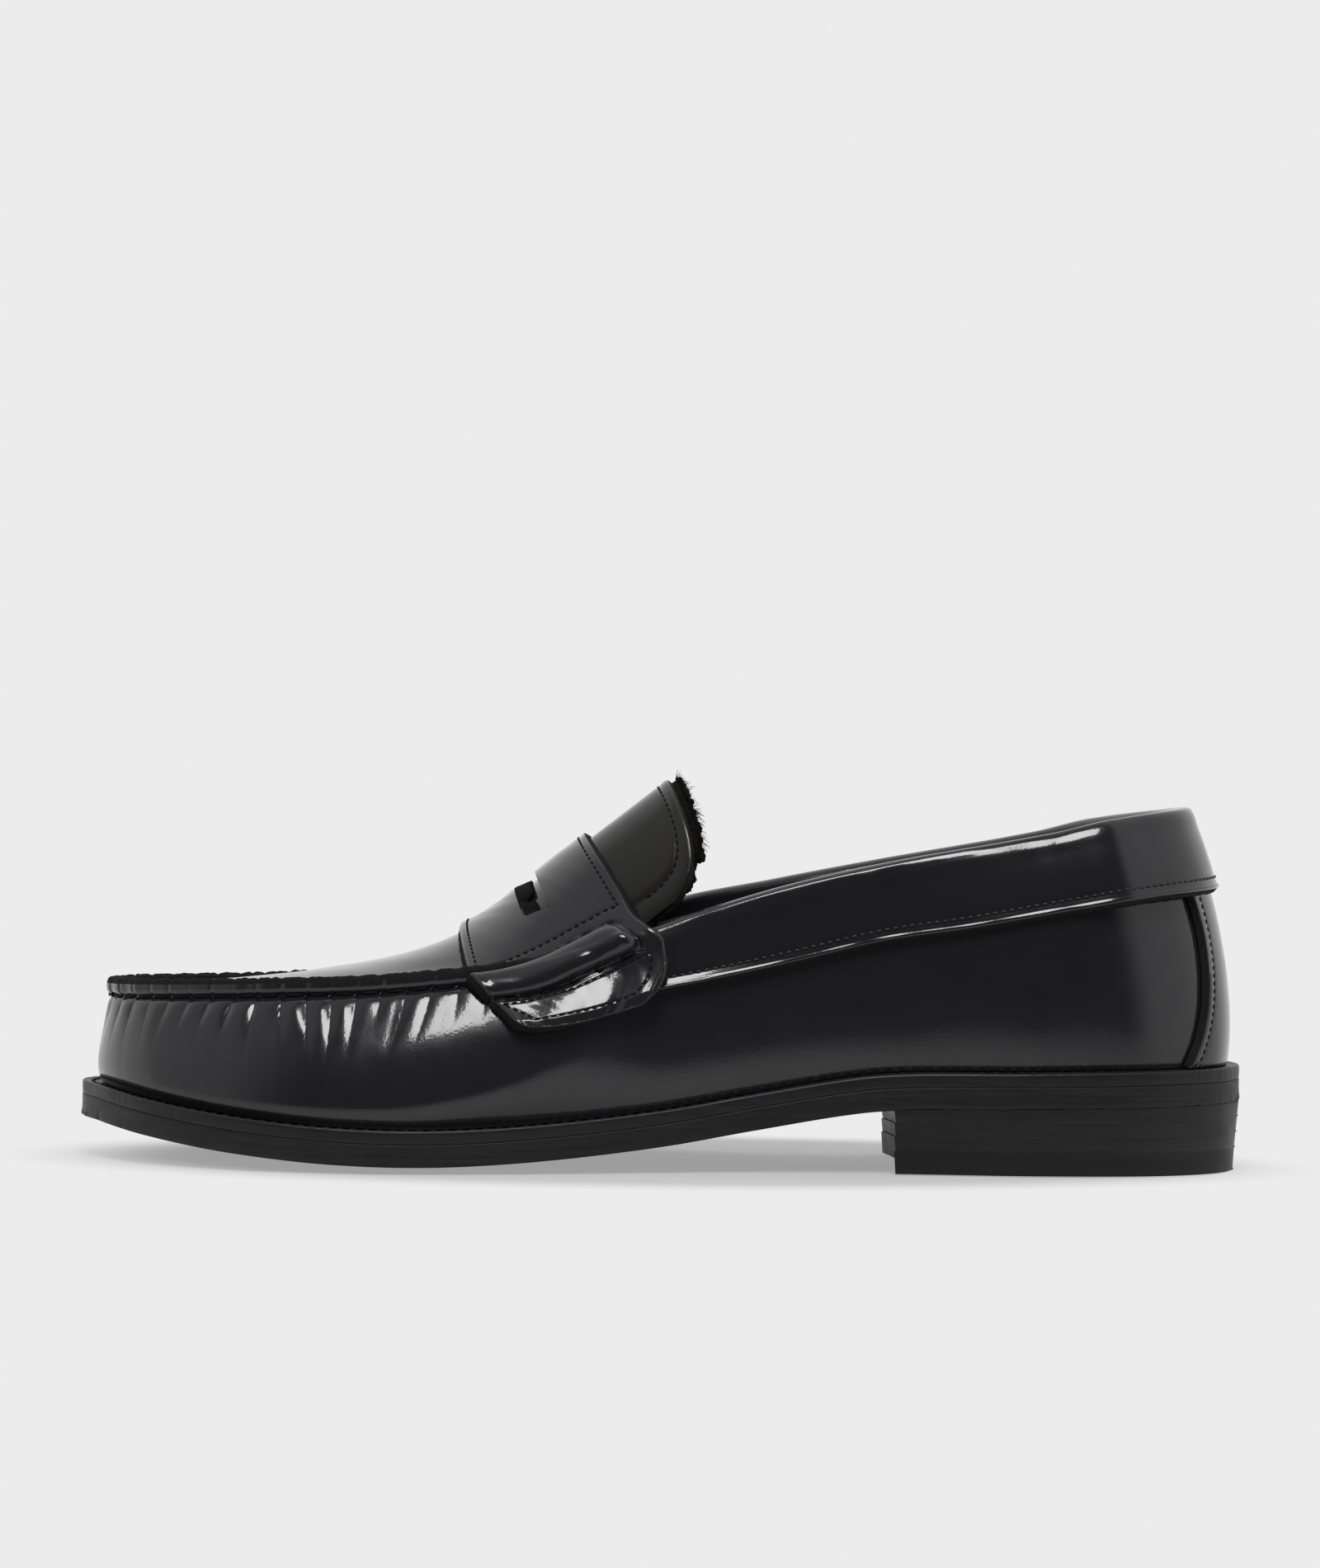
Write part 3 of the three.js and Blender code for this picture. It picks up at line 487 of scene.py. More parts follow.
# ---------------------------------------------------------------- materials
class Graph:
    """A node tree, with short ways to add nodes and join them."""

    def __init__(self, owner, clear=False):
        owner.use_nodes = True
        self.tree = owner.node_tree
        if clear:
            self.tree.nodes.clear()

    def node(self, kind, **values):
        """Adds a node. A value is one of its settings or, failing that, the input of that name."""
        made = self.tree.nodes.new(kind)
        for key, value in values.items():
            if hasattr(made, key):
                setattr(made, key, value)
            else:
                made.inputs[key.replace("_", " ")].default_value = value
        return made

    def link(self, a, b):
        self.tree.links.new(a, b)

    def calc(self, operation, *terms, kind="ShaderNodeMath"):
        """One step of arithmetic on sockets and plain numbers."""
        made = self.node(kind, operation=operation)
        for socket, term in zip(made.inputs, terms):
            if isinstance(term, bpy.types.NodeSocket):
                self.link(term, socket)
            else:
                socket.default_value = term
        return made

    def spread(self, value, low, high, start=0.3, end=0.7, **how):
        """Runs from low to high while value runs from start to end."""
        ranged = self.node("ShaderNodeMapRange", From_Min=start, From_Max=end, To_Min=low, To_Max=high, **how)
        self.link(value, ranged.inputs["Value"])
        return ranged.outputs["Result"]

    def mix(self, share, first, second):
        """The first shader where share is 0, and the second where it is 1."""
        made = self.node("ShaderNodeMixShader")
        for socket, source in zip(made.inputs, (share, first, second)):
            self.link(source, socket)
        return made.outputs[0]


class Shader(Graph):
    """One material's node tree with its Principled shader."""

    def __init__(self, name, color, roughness, **sockets):
        self.material = bpy.data.materials.new(name)
        super().__init__(self.material)
        self.bsdf = self.tree.nodes["Principled BSDF"]
        self.bsdf.inputs["Base Color"].default_value = (*color, 1)
        self.bsdf.inputs["Roughness"].default_value = roughness
        for socket, value in sockets.items():
            self.bsdf.inputs[socket.replace("_", " ")].default_value = value
        self.where = self.node("ShaderNodeTexCoord").outputs["Object"]

    def stretch(self, scale):
        mapping = self.node("ShaderNodeMapping", Scale=scale)
        self.link(self.where, mapping.inputs["Vector"])
        return mapping.outputs["Vector"]

    def noise(self, scale, detail=3.0, rough=0.55, stretch=(1, 1, 1)):
        noise = self.node("ShaderNodeTexNoise", Scale=scale, Detail=detail, Roughness=rough)
        self.link(self.stretch(stretch), noise.inputs["Vector"])
        return noise.outputs["Fac"]

    def cells(self, scale):
        cells = self.node("ShaderNodeTexVoronoi", Scale=scale, feature="SMOOTH_F1", Smoothness=0.6)
        self.link(self.stretch((1, 1, 1)), cells.inputs["Vector"])
        return cells.outputs["Distance"]

    def rough(self, value, low, high, **kw):
        self.link(self.spread(value, low, high, **kw), self.bsdf.inputs["Roughness"])
        return self

    def tint(self, value, dark, light, start=0.3, end=0.7):
        ramp = self.node("ShaderNodeValToRGB")
        for stop, place, color in zip(ramp.color_ramp.elements, (start, end), (dark, light)):
            stop.position, stop.color = place, (*color, 1)
        self.link(value, ramp.inputs["Fac"])
        self.link(ramp.outputs["Color"], self.bsdf.inputs["Base Color"])
        return self

    def bump(self, value, strength, distance, coat=False):
        """Adds one more layer of relief, under the coat or in it too; distance in mm."""
        bump = self.node("ShaderNodeBump", Strength=strength, Distance=distance * MM)
        self.link(value, bump.inputs["Height"])
        target = self.bsdf.inputs["Normal"]
        if target.is_linked:
            self.link(target.links[0].from_socket, bump.inputs["Normal"])
        self.link(bump.outputs["Normal"], target)
        if coat:
            self.link(bump.outputs["Normal"], self.bsdf.inputs["Coat Normal"])
        return self


def per_mm(wave):
    """A noise scale whose cells are about wave mm."""
    return 1 / (wave * MM)


def polished(name, grain=1.0, tone=(0.0135, 0.0135, 0.0162), coat=0.6):
    """High-shine leather: slow waves, fine grain and pores under a clear coat."""
    m = Shader(name, tone, 0.2, Coat_Weight=coat, Coat_Roughness=0.045, Coat_IOR=1.5,
               Specular_IOR_Level=0.25)
    m.rough(m.noise(per_mm(9)), 0.16, 0.26)
    m.bump(m.noise(per_mm(16), 2), 0.5, 0.10)
    m.bump(m.noise(per_mm(0.8), 2, 0.6), 0.4 * grain, 0.03)
    m.bump(m.cells(per_mm(0.5)), 0.2 * grain, 0.02, coat=True)
    return m.material


LEATHER_LOOK = polished("polished_leather")
TONGUE_LOOK = polished("polished_tongue_leather", tone=(0.0125, 0.0112, 0.0105), coat=0.3)
WALL_LOOK = polished("polished_leather_wall", 1.25)


def raw_edge():
    m = Shader("raw_leather_edge", (0.010, 0.0095, 0.009), 0.85, Specular_IOR_Level=0.2)
    m.tint(m.noise(per_mm(0.6), 4), (0.004, 0.0038, 0.0036), (0.014, 0.013, 0.012))
    m.bump(m.noise(per_mm(0.3), 4, 0.7), 0.9, 0.12)
    return m.material


def waxed_thread(name, roughness, specular):
    m = Shader(name, (0.004, 0.004, 0.0043), roughness, Specular_IOR_Level=specular)
    m.bump(m.noise(per_mm(0.25), 2, stretch=(1, 1, 2.2)), 0.7, 0.06)
    m.rough(m.noise(per_mm(1.5)), roughness - 0.08, roughness + 0.08)
    return m.material


def burnished(name, lines, low, high, color):
    """The stacked edge of sole and heel: thin level layers under black dressing."""
    m = Shader(name, color, 0.5, Coat_Weight=0.06, Coat_Roughness=0.3, Specular_IOR_Level=0.25)
    layers = m.noise(per_mm(lines), 4, 0.6, stretch=(0.035, 0.035, 1))
    m.tint(layers, tuple(c * 0.7 for c in color), tuple(c * 1.5 for c in color))
    m.rough(m.noise(per_mm(5), 3, stretch=(0.4, 0.4, 1)), low, high)
    m.bump(layers, 0.5, 0.09)
    m.bump(m.noise(per_mm(0.35), 3, 0.7), 0.35, 0.05)
    return m.material


def plain(name, dark, light, wave, low, high, relief=0.1, fine=0.4, **sockets):
    """A dull material with mottled colour and two sizes of relief."""
    m = Shader(name, light, high, **sockets)
    m.tint(m.noise(per_mm(wave), 4), dark, light)
    m.rough(m.noise(per_mm(wave * 2)), low, high)
    m.bump(m.noise(per_mm(fine), 4, 0.65), 0.6, relief)
    return m.material


RAW_LOOK = raw_edge()
THREAD_LOOK = waxed_thread("waxed_thread", 0.74, 0.2)
CLEAR_THREAD_LOOK = waxed_thread("waxed_collar_thread", 0.42, 0.6)
SOLE_LOOK = burnished("burnished_sole_edge", 0.9, 0.42, 0.58, (0.0095, 0.0095, 0.0108))
WELT_LOOK = burnished("burnished_welt", 1.3, 0.34, 0.5, (0.0095, 0.0095, 0.0108))
TREAD_LOOK = plain("black_sole_leather", (0.012, 0.012, 0.013), (0.03, 0.029, 0.029), 8, 0.5, 0.72, 0.08)
RUBBER_LOOK = burnished("black_rubber", 1.6, 0.5, 0.66, (0.0078, 0.0078, 0.009))
LINING_LOOK = plain("lining_leather", (0.03, 0.021, 0.016), (0.07, 0.052, 0.042), 6, 0.42, 0.6, 0.05, 0.7)
SOCK_LOOK = plain("sock_leather", (0.02, 0.017, 0.015), (0.042, 0.036, 0.031), 7, 0.45, 0.62, 0.05, 0.8)
SUEDE_LOOK = plain("black_suede", (0.003, 0.0027, 0.0024), (0.010, 0.009, 0.008), 1.2, 0.9, 1.0, 0.25, 0.25,
                   Specular_IOR_Level=0.1)
# Near-black for the slot's cut edge: partly the cut leather's own dark colour, partly painted shade of the
# gap under the strap's front lip.
SLOT_EDGE_AND_SHADE_LOOK = plain("slot_cut_leather_and_painted_shade", (0.002, 0.002, 0.002), (0.008, 0.008, 0.008), 1.0, 0.85, 1.0, 0.12, 0.3,
                  Specular_IOR_Level=0.08)
BOARD_LOOK = plain("leatherboard", (0.3, 0.2, 0.12), (0.48, 0.34, 0.22), 3, 0.8, 0.95, 0.12)
CORK_LOOK = plain("cork_paste", (0.16, 0.09, 0.045), (0.5, 0.33, 0.19), 1.8, 0.85, 1.0, 0.3)
FOAM_LOOK = plain("felted_foam", (0.06, 0.056, 0.052), (0.13, 0.12, 0.11), 1.5, 0.9, 1.0, 0.3)
CLOTH_LOOK = plain("lining_cloth", (0.04, 0.036, 0.032), (0.09, 0.08, 0.07), 0.8, 0.85, 1.0, 0.15)
STEEL_LOOK = plain("bare_steel", (0.42, 0.42, 0.44), (0.6, 0.6, 0.62), 5, 0.25, 0.42, 0.02, Metallic=1.0)

CARRIED_OVER = {
    BOARD_LOOK: ["insole", "heel_counter", "toe_puff"],
    CORK_LOOK: ["cork_filler"],
    FOAM_LOOK: ["heel_pad"],
    CLOTH_LOOK: ["vamp_lining", "apron_lining", "topline_tape"],
    STEEL_LOOK: ["shank"] + [f"heel_nail_{i}" for i in range(1, 6)],
}
for look, names in CARRIED_OVER.items():
    for node in names:
        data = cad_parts[node].data
        data.materials.clear()
        data.materials.append(look)

# ---------------------------------------------------------------- bottom of the shoe
HEEL_BREAST_X = 59.0
HEEL_TAPER = 1.4
BREAST_HOLLOW = 3.0
TOP_PIECE = 5.7
T_TIP = 0.006


def both_ends(first, last, count):
    """Values of t from heel to toe, close together at both ends."""
    return 0.25 * (1 - np.cos(np.pi * np.linspace(first, last, count)))


def t_at_x(x):
    t = np.linspace(0, 0.5, 4001)
    return float(t[np.argmin(np.abs(sole(t)[:, 0] - x))])


T_BREAST = t_at_x(HEEL_BREAST_X)
# The welt's section, as (distance in from its edge, drop from its top) in mm, with the stitches' groove.
WELT_SECTION = [(13.5, 0), (4.4, 0), (3.3, -0.03), (2.95, -0.2), (2.6, -0.28), (2.25, -0.2), (1.9, -0.03),
                (0.9, 0), (0.45, -0.06), (0.14, -0.28), (0.0, -0.65), (0.0, -1.5), (0.04, -2.4), (0.06, -3.2),
                (0.14, -3.46), (0.3, -3.5), (13.5, -3.5), (13.5, 0)]
WELT_GROOVE = 2.6  # the groove's distance in from the edge
WELT_FACE = slice(8, 13)  # its places on the outer face


def welt():
    t = np.linspace(0, 1, 900, endpoint=False)
    rows = []
    for d, drop in WELT_SECTION:
        p = inset(t, d)
        p[:, 2] = bed(p[:, 0], p[:, 1]) + drop
        rows.append(p)
    rows = np.stack(rows, 1)
    rough = random.normal(size=len(t)) * 0.035
    rows[:, WELT_FACE] += (outward(t) * rough[:, None])[:, None]
    return sweep("welt_band", rows, [WELT_LOOK], rows - rows.mean(1, keepdims=True), ring=True,
                 slot="edge_leather", stands_for=["welt"])


welt()

# The outsole's edge, as (reach outwards, share of the way down), with a scored line.
SOLE_EDGE = [(-0.4, 0), (-0.1, 0.006), (-0.02, 0.03), (0, 0.14), (0.0, 0.36), (-0.02, 0.39), (0.0, 0.42),
             (0.03, 0.7), (0.04, 0.9), (-0.08, 0.975), (-0.4, 1)]
slab("outsole_leather", rungs(both_ends(0.012, 0.988, 200), 26),
     lambda x, y: bed(x, y) - WELT_THICKNESS - 0.06, lambda x, y: np.maximum(0.0, bed(x, y) - SOLE_TOTAL),
     SOLE_EDGE, [TREAD_LOOK, SOLE_LOOK], ragged=0.2, edge_kind=1, slot="edge_leather", stands_for=["outsole"])


def heel_plan(margin):
    """The heel's outline in plan, hollowed along its breast."""
    u = 1 - np.linspace(0, 1, 70) ** 1.3
    t = np.clip(lerp(T_TIP, T_BREAST, u), 0.0012, None)
    plan = rungs(t, 18, margin)
    v = np.linspace(0, 1, 18)
    plan[..., 0] += BREAST_HOLLOW * (1 - (2 * v[None, :] - 1) ** 2) * u[:, None] ** 3
    return plan


def stack_top(x, y):
    return bed(x, y) - SOLE_TOTAL


LIFTS = 3


def heel_layer(name, top, bottom, number, look, **kw):
    """One layer of the heel, counted from the floor; the stack narrows evenly on its way down."""
    margin = HEEL_TAPER * (1 - (number + 1) / (LIFTS + 1))
    slope = HEEL_TAPER / (LIFTS + 1)
    rounded = [(-0.06, 0), (-0.015, 0.012), (0, 0.04), (0, 0.5), (0, 0.96), (-0.015, 0.988), (-0.06, 1)]
    section = [(reach - slope * share, share) for reach, share in rounded]
    slab(name, heel_plan(margin), top, bottom, section, [look], **kw)


def level(share):
    return lambda x, y: lerp(TOP_PIECE, stack_top(x, y), share)


for i in range(LIFTS):
    heel_layer(f"heel_lift_{i + 1}_leather", level((i + 1) / LIFTS), level(i / LIFTS), i + 1, SOLE_LOOK,
               slot="edge_leather", stands_for=[f"heel_lift_{i + 1}"])
heel_layer("heel_top_piece", level(0), lambda x, y: np.zeros_like(x), 0, RUBBER_LOOK, ragged=0.04,
           slot="rubber", stands_for=["top_piece"])


def welt_stitching():
    t = np.linspace(0.10, 0.90, 1500)
    p = inset(t, WELT_GROOVE)
    p[:, 2] = bed(p[:, 0], p[:, 1]) - 0.12
    stitches("welt_stitches", p, np.broadcast_to(UP, p.shape), THREAD_LOOK, pitch=3.3, radius=0.34, fill=0.84,
             sink=0.3, rise=0.12, stands_for=["welt_thread"])


welt_stitching()


INSOLE_THICKNESS, PAD_THICKNESS, SOCK_THICKNESS, SOCK_MARGIN = 2.4, 2.0, 1.1, 10.6
PAD_FRONT = 66, 84  # the x over which the heel pad thickens


def pad_top(x, y):
    return bed(x, y) + GAP + INSOLE_THICKNESS + GAP + PAD_THICKNESS * smooth(x, *PAD_FRONT)


slab("sock_leather", rungs(both_ends(0.06, 0.94, 90), 22, SOCK_MARGIN),
     lambda x, y: pad_top(x, y) + (GAP + SOCK_THICKNESS), lambda x, y: pad_top(x, y) + GAP,
     [(-0.5, 0), (-0.1, 0.15), (0, 0.5), (-0.3, 1)], [SOCK_LOOK], slot="lining_leather",
     stands_for=["sock_lining"])

# ---------------------------------------------------------------- moccasin seam
SEAM_END = 0.262
STITCH_STEP = 6.4
SEAM_T = np.linspace(0.24, 0.76, 4001)
SEAM_RUN = run_along(top_edge(SEAM_T))
SEAM_RUN -= np.interp(0.5, SEAM_T, SEAM_RUN)


def seam_run(t):
    """Distance along the seam from the middle of the toe, in mm."""
    return np.interp(t, SEAM_T, SEAM_RUN)


def wave_noise(x, seed, count=24, low=1 / 60, high=1 / 9):
    """A smooth random function of a distance, between about -1 and 1."""
    own = np.random.default_rng(seed)
    freq, phase = own.uniform(low, high, count), own.uniform(0, 2 * np.pi, count)
    return np.sin(2 * np.pi * np.asarray(x)[..., None] * freq + phase).sum(-1) / math.sqrt(count)


def to_notch(run):
    """Distance to the nearest seam stitch hole, in mm."""
    place = run / STITCH_STEP
    return np.abs(place - np.round(place)) * STITCH_STEP


FOLD_RISE = 3.6  # mm below the seam to a fold's full height
FOLD_REACH, CREASE_REACH = 6.0, 15.0  # mm below the seam to where folds and creases have mostly faded
FOLD_HEIGHT, CREASE_HEIGHT = 0.95, 0.09
FOLD_MIDDLE = 0.55  # the share of a fold's swell that is taken off, so that it dips between folds
SHALLOW_TOE, SHALLOW_SIDES = (25, 60), (78, 96)  # mm from the middle of the toe


def pucker(run, below):
    """How far the wall stands out below the seam: one fold to each stitch, and faint creases."""
    lean = 0.16 * wave_noise(run, 3, low=1 / 120, high=1 / 40)
    slanted = run + below * lean
    place = slanted / STITCH_STEP
    block = np.floor(place)
    size = np.clip(1 + 0.4 * wave_noise(block * STITCH_STEP, 5, low=1 / 30, high=1 / 7), 0.3, 1.7)
    swell = np.sin(np.pi * (place - block)) ** 0.8
    reach = FOLD_REACH * np.clip(
        1 + 0.3 * wave_noise(block * STITCH_STEP, 6, low=1 / 30, high=1 / 7), 0.6, 1.6)
    rise = smooth(below, -0.5, FOLD_RISE)
    creases = 0.5 * np.cos(2 * np.pi * (slanted / (STITCH_STEP * 2.0) + 0.2 * wave_noise(run, 9)))
    fade = (1 - 0.72 * smooth(np.abs(run), *SHALLOW_SIDES)) * (0.5 + 0.5 * smooth(np.abs(run), *SHALLOW_TOE))
    fold = fade * size * FOLD_HEIGHT * (swell - FOLD_MIDDLE) * bell(below, reach) * (0.25 + 0.75 * rise)
    return fold + CREASE_HEIGHT * creases * bell(below, CREASE_REACH, 1.4) * rise


COLLAR_LAP = 0.12  # how far, in h, the wall runs up under the collar


def vamp_head(t):
    return np.minimum(0.88, collar_foot(t) + COLLAR_LAP)


STRIP_WAIST, STRIP_ENDS = 0.046, 0.066


def strip_edge(h):
    """The t of the back strip's edge, widest at its top and foot."""
    away = 2 * h - 1
    return STRIP_WAIST + (STRIP_ENDS - STRIP_WAIST) * away * away


# The upright seam's section, as (out, up) in mm from the wall's top edge, over the lip and down behind it.
RIDGE = [(-0.35, 0.05), (-0.1, 0.25), (0.3, 0.55), (0.62, 1.0), (0.8, 1.6), (0.86, 2.3), (0.8, 3.0),
         (0.66, 3.6), (0.45, 4.1), (0.2, 4.42), (-0.15, 4.52), (-0.55, 4.5), (-0.85, 4.3), (-1.0, 3.8),
         (-1.05, 2.6), (-1.1, 0.6)]
RIDGE_SKIN = 7  # its places on the polished side


def ridge_point(t, out, up, share=1.0):
    """A point of the upright seam, (out, up) mm from the top of the wall."""
    run = seam_run(t)
    gather = bell(to_notch(run), 0.6)
    ragged = 0.10 * wave_noise(run, 21, 40, 1 / 9, 1 / 1.6)
    deep = 0.3 * (1 + 0.7 * wave_noise(run, 27, low=1 / 20, high=1 / 7))
    out = out - gather * deep * (1 - 0.12 * up) * (out > -0.6)
    out = out + 0.14 * wave_noise(run, 23, low=1 / 25, high=1 / 5)
    up = up - 0.28 * gather * (up > 3.5) + ragged * smooth(up, 3.4, 4.4)
    return top_edge(t) + outward(t) * (out * share)[..., None] + UP * (up * share)[..., None]


VAMP_ROWS = 54
RIDGE_GROWS = 0.008  # the t over which the upright seam rises at its ends


def vamp():
    start = SEAM_END - RIDGE_GROWS
    half = np.concatenate([np.linspace(0.045, start, 130)[:-1], np.linspace(start, 0.5, 470)])
    t = np.concatenate([half, 1 - half[-2::-1]])
    side = side_of(t)
    ridge_share = smooth(side, SEAM_END, SEAM_END + RIDGE_GROWS)
    head = lerp(vamp_head(t), 1.0, smooth(side, SEAM_END - 0.006, SEAM_END))
    up_wall = 1 - (1 - np.linspace(0, 1, VAMP_ROWS)) ** 1.3
    h = head[:, None] * up_wall[None, :]
    tt = np.broadcast_to(t[:, None], h.shape)
    inner_end = strip_edge(np.minimum(h, 1)) - 0.012
    tt = np.where(tt < 0.5, np.maximum(tt, inner_end), np.minimum(tt, 1 - inner_end))
    base = wall_point(tt, h)
    length = np.linalg.norm(np.diff(base, axis=1), axis=2).sum(1)[:, None]
    below = (1 - h) * length
    run = seam_run(tt)
    tuck = 0.5 * bell(below, 0.9)
    relief = (pucker(run, below) - tuck) * ridge_share[:, None]
    relief += 0.05 * wave_noise(run, 31, low=1 / 80, high=1 / 25)
    rows = base + wall_normal(tt, h) * relief[..., None]
    top = np.stack([ridge_point(t, np.full_like(t, a), np.full_like(t, b), ridge_share) for a, b in RIDGE], 1)
    top = np.where(ridge_share[:, None, None] > 0, top, rows[:, -1:, :] - outward(t)[:, None] * 0.4)
    kinds = [0] * (VAMP_ROWS - 1 + RIDGE_SKIN) + [1] * (len(RIDGE) - RIDGE_SKIN)
    rows = np.concatenate([rows, top], 1)
    facing = np.concatenate([wall_normal(tt, h), np.broadcast_to(outward(t)[:, None], top.shape)], 1)
    return sweep("vamp_leather", rows, [WALL_LOOK, RAW_LOOK], facing, kinds=kinds, slot="upper_leather",
                 stands_for=["vamp"])


vamp()


SEAM_STITCHES = 44
HOLE = 0.45  # the gap from a hole's middle to where the thread shows


def seam_stitching():
    """A thread lies along the foot of the ridge from hole to hole, and a loop climbs over it at each hole."""
    holes = (np.arange(SEAM_STITCHES + 1) - SEAM_STITCHES // 2) * STITCH_STEP
    starts, ends = holes[:-1] + HOLE, holes[1:] - HOLE
    q = np.linspace(0, 1, 11)
    t = np.interp(starts[:, None] + (ends - starts)[:, None] * q[None], SEAM_RUN, SEAM_T)
    arc = np.sin(np.pi * q)[None]
    centres = top_edge(t) + outward(t) * (-0.45 + 0.42 * arc)[..., None] + UP * 0.05
    radii = np.tile(0.36 * thread_taper(q, 8, 0.1), (len(starts), 1))
    tubes("seam_stitches", centres, radii, THREAD_LOOK, sides=8, slot="thread", stands_for=["seam_thread"])
    q = np.linspace(0, 1, 9)[None]
    t = np.interp(holes, SEAM_RUN, SEAM_T)[:, None] + 0 * q
    over = np.cos(np.linspace(-0.25, np.pi * 0.55, 9))[None]
    centres = top_edge(t) + outward(t) * (0.28 * over - 0.15)[..., None] + UP * (-0.5 + 1.9 * q)[..., None]
    tubes("seam_stitch_loops", centres, 0.3 * np.ones_like(t), THREAD_LOOK, sides=8, slot="thread")


seam_stitching()

# ---------------------------------------------------------------- apron
APRON_INSET = 2.9
APRON_END = 0.93


# The apron's upright lip, as (mm in from the seam, mm up), from the outer foot over the cut and down inside.
APRON_LIP = [(-0.05, 0.25), (0.1, 0.7), (0.2, 1.6), (0.16, 2.8), (0.05, 3.7), (-0.3, 4.15), (-0.8, 4.2),
             (-1.1, 3.9), (-1.15, 2.0), (-1.15, -1.0)]
APRON_CUT = 6  # faces of the lip on its raw side


def apron():
    s = 0.008 + (APRON_END - 0.008) * np.linspace(0, 1, 230) ** 1.5
    g = np.sin(np.linspace(-1, 1, 91) * np.pi / 2)
    ss, gg = np.meshgrid(s, g, indexing="ij")

    def surface(a, b):
        return arch_point(a, b, APRON_INSET)

    base = surface(ss, np.clip(gg, -0.9995, 0.9995))
    run = seam_run(seam_t(ss, np.where(gg < 0, -1, 1)))
    width = np.linalg.norm(surface(ss, np.sign(gg + 1e-9)) - base, axis=-1)
    gather = bell(to_notch(run), 1.6) * bell(width, 3.4, 1.5) * 0.35
    normal = normal_of(surface, ss, np.clip(gg, -0.99, 0.99), UP)
    shoulder = 0.5 * bell(width - 5.0, 3.5)
    base = base + normal * (0.04 * wave_noise(ss * 160 + 30 * gg, 41) - gather + shoulder)[..., None]
    walls = []
    for side in (-1, 1):
        t = seam_t(s, side)
        gather = bell(to_notch(seam_run(t)), 1.0) * 0.3
        frayed = 0.10 * wave_noise(seam_run(t), 55 + side, 40, 1 / 8, 1 / 1.5)
        rows = []
        for inward, up in APRON_LIP:
            away = APRON_INSET + inward - gather * (inward > -0.2)
            rows.append(top_edge(t) - outward(t) * away[:, None] + UP * (up + frayed * (up > 3))[:, None])
        walls.append(np.stack(rows, 1))
    rows = np.concatenate([walls[0][:, ::-1], base, walls[1]], 1)
    kinds = [1] * APRON_CUT + [0] * (2 * (len(APRON_LIP) - APRON_CUT) + len(g) - 1) + [1] * APRON_CUT
    facing = np.broadcast_to(UP, rows.shape)
    return sweep("apron_leather", rows, [LEATHER_LOOK, RAW_LOOK], facing, kinds=kinds, slot="upper_leather",
                 stands_for=["apron"])


apron()

# ---------------------------------------------------------------- saddle strap
# A place on the strap is u, from its front at 0 to its back at 1, and v, from the outer wing's foot at -1 to
# the inner one's at 1. Its flat places are (across, along) in mm.
STRAP_CREST = 0.62  # the v where it leaves the arch over the foot for the wall
STRAP_FRONT, STRAP_BACK = 0.757, 0.985  # the s of its edges on the crown
# The h of a wing's foot, along u.
WING_FOOT = profile([(0, 0.69), (0.15, 0.655), (0.3, 0.625), (0.45, 0.6), (0.6, 0.585), (1, 0.585)])
STRAP_HALF, STRAP_DEEP = 74.0, 40.0  # mm across to one side, and front to back
ROLL_FRONT, ROLL_BACK, ROLL_HALF = 0.677, 0.65, 0.082
ROLL_END = 0.87


def strap_point(u, v):
    u, v = np.broadcast_arrays(np.asarray(u, float), np.asarray(v, float))
    reach, side = np.abs(v), np.where(v < 0, -1, 1)
    up = np.minimum(reach / STRAP_CREST, 1)
    down = np.maximum(reach - STRAP_CREST, 0) / (1 - STRAP_CREST)
    front = STRAP_FRONT - 0.011 * up * up + 0.057 * down
    back = STRAP_BACK + 0.03 * np.sin(np.pi * np.minimum(down, 1)) - 0.01 * down
    s = lerp(front, back, u)
    arch = arch_point(s, side * np.minimum(up, 1))
    side_wall = wall_point(seam_t(s, side), lerp(1, WING_FOOT(u), down))
    return np.where((down > 0)[..., None], side_wall, arch)


def strap_normal(u, v):
    """The strap's normal, softened where it turns down over the seam."""
    facing = xyz(0 * v, np.sign(v) * 0.7, 0.7 + 0 * v)
    n = normal_of(strap_point, u, v, facing, 4e-3)
    wide = normal_of(strap_point, u, v, facing, 4e-2)
    blend = bell(np.abs(v) - STRAP_CREST, 0.06)[..., None]
    return unit(lerp(n, wide, blend))


# Stitch lines and creases on a wing, as (u, v).
FRONT_ROW, BACK_ROW = 0.03, 0.905
ROW = [(0.03, 0.594), (0.1, 0.576), (0.165, 0.562), (0.335, 0.542), (0.555, 0.531), (0.82, 0.529),
       (0.905, 0.534)]
BOX = [(0.015, 0.812), (0.215, 0.796), (0.49, 0.784), (0.80, 0.766), (0.89, 0.764), (0.885, 0.89),
       (0.83, 0.938), (0.585, 0.944), (0.22, 0.936), (0.11, 0.942), (0.055, 0.866), (0.015, 0.812)]
UPPER_CREASE = [(-0.02, 0.61), (0.105, 0.60), (0.255, 0.594), (0.425, 0.581), (0.605, 0.572), (0.82, 0.575),
                (0.865, 0.588), (0.882, 0.624), (0.872, 0.68), (0.845, 0.73)]
LOWER_CREASE = [(-0.03, 0.757), (0.075, 0.768), (0.235, 0.756), (0.415, 0.733), (0.62, 0.726), (0.845, 0.73)]


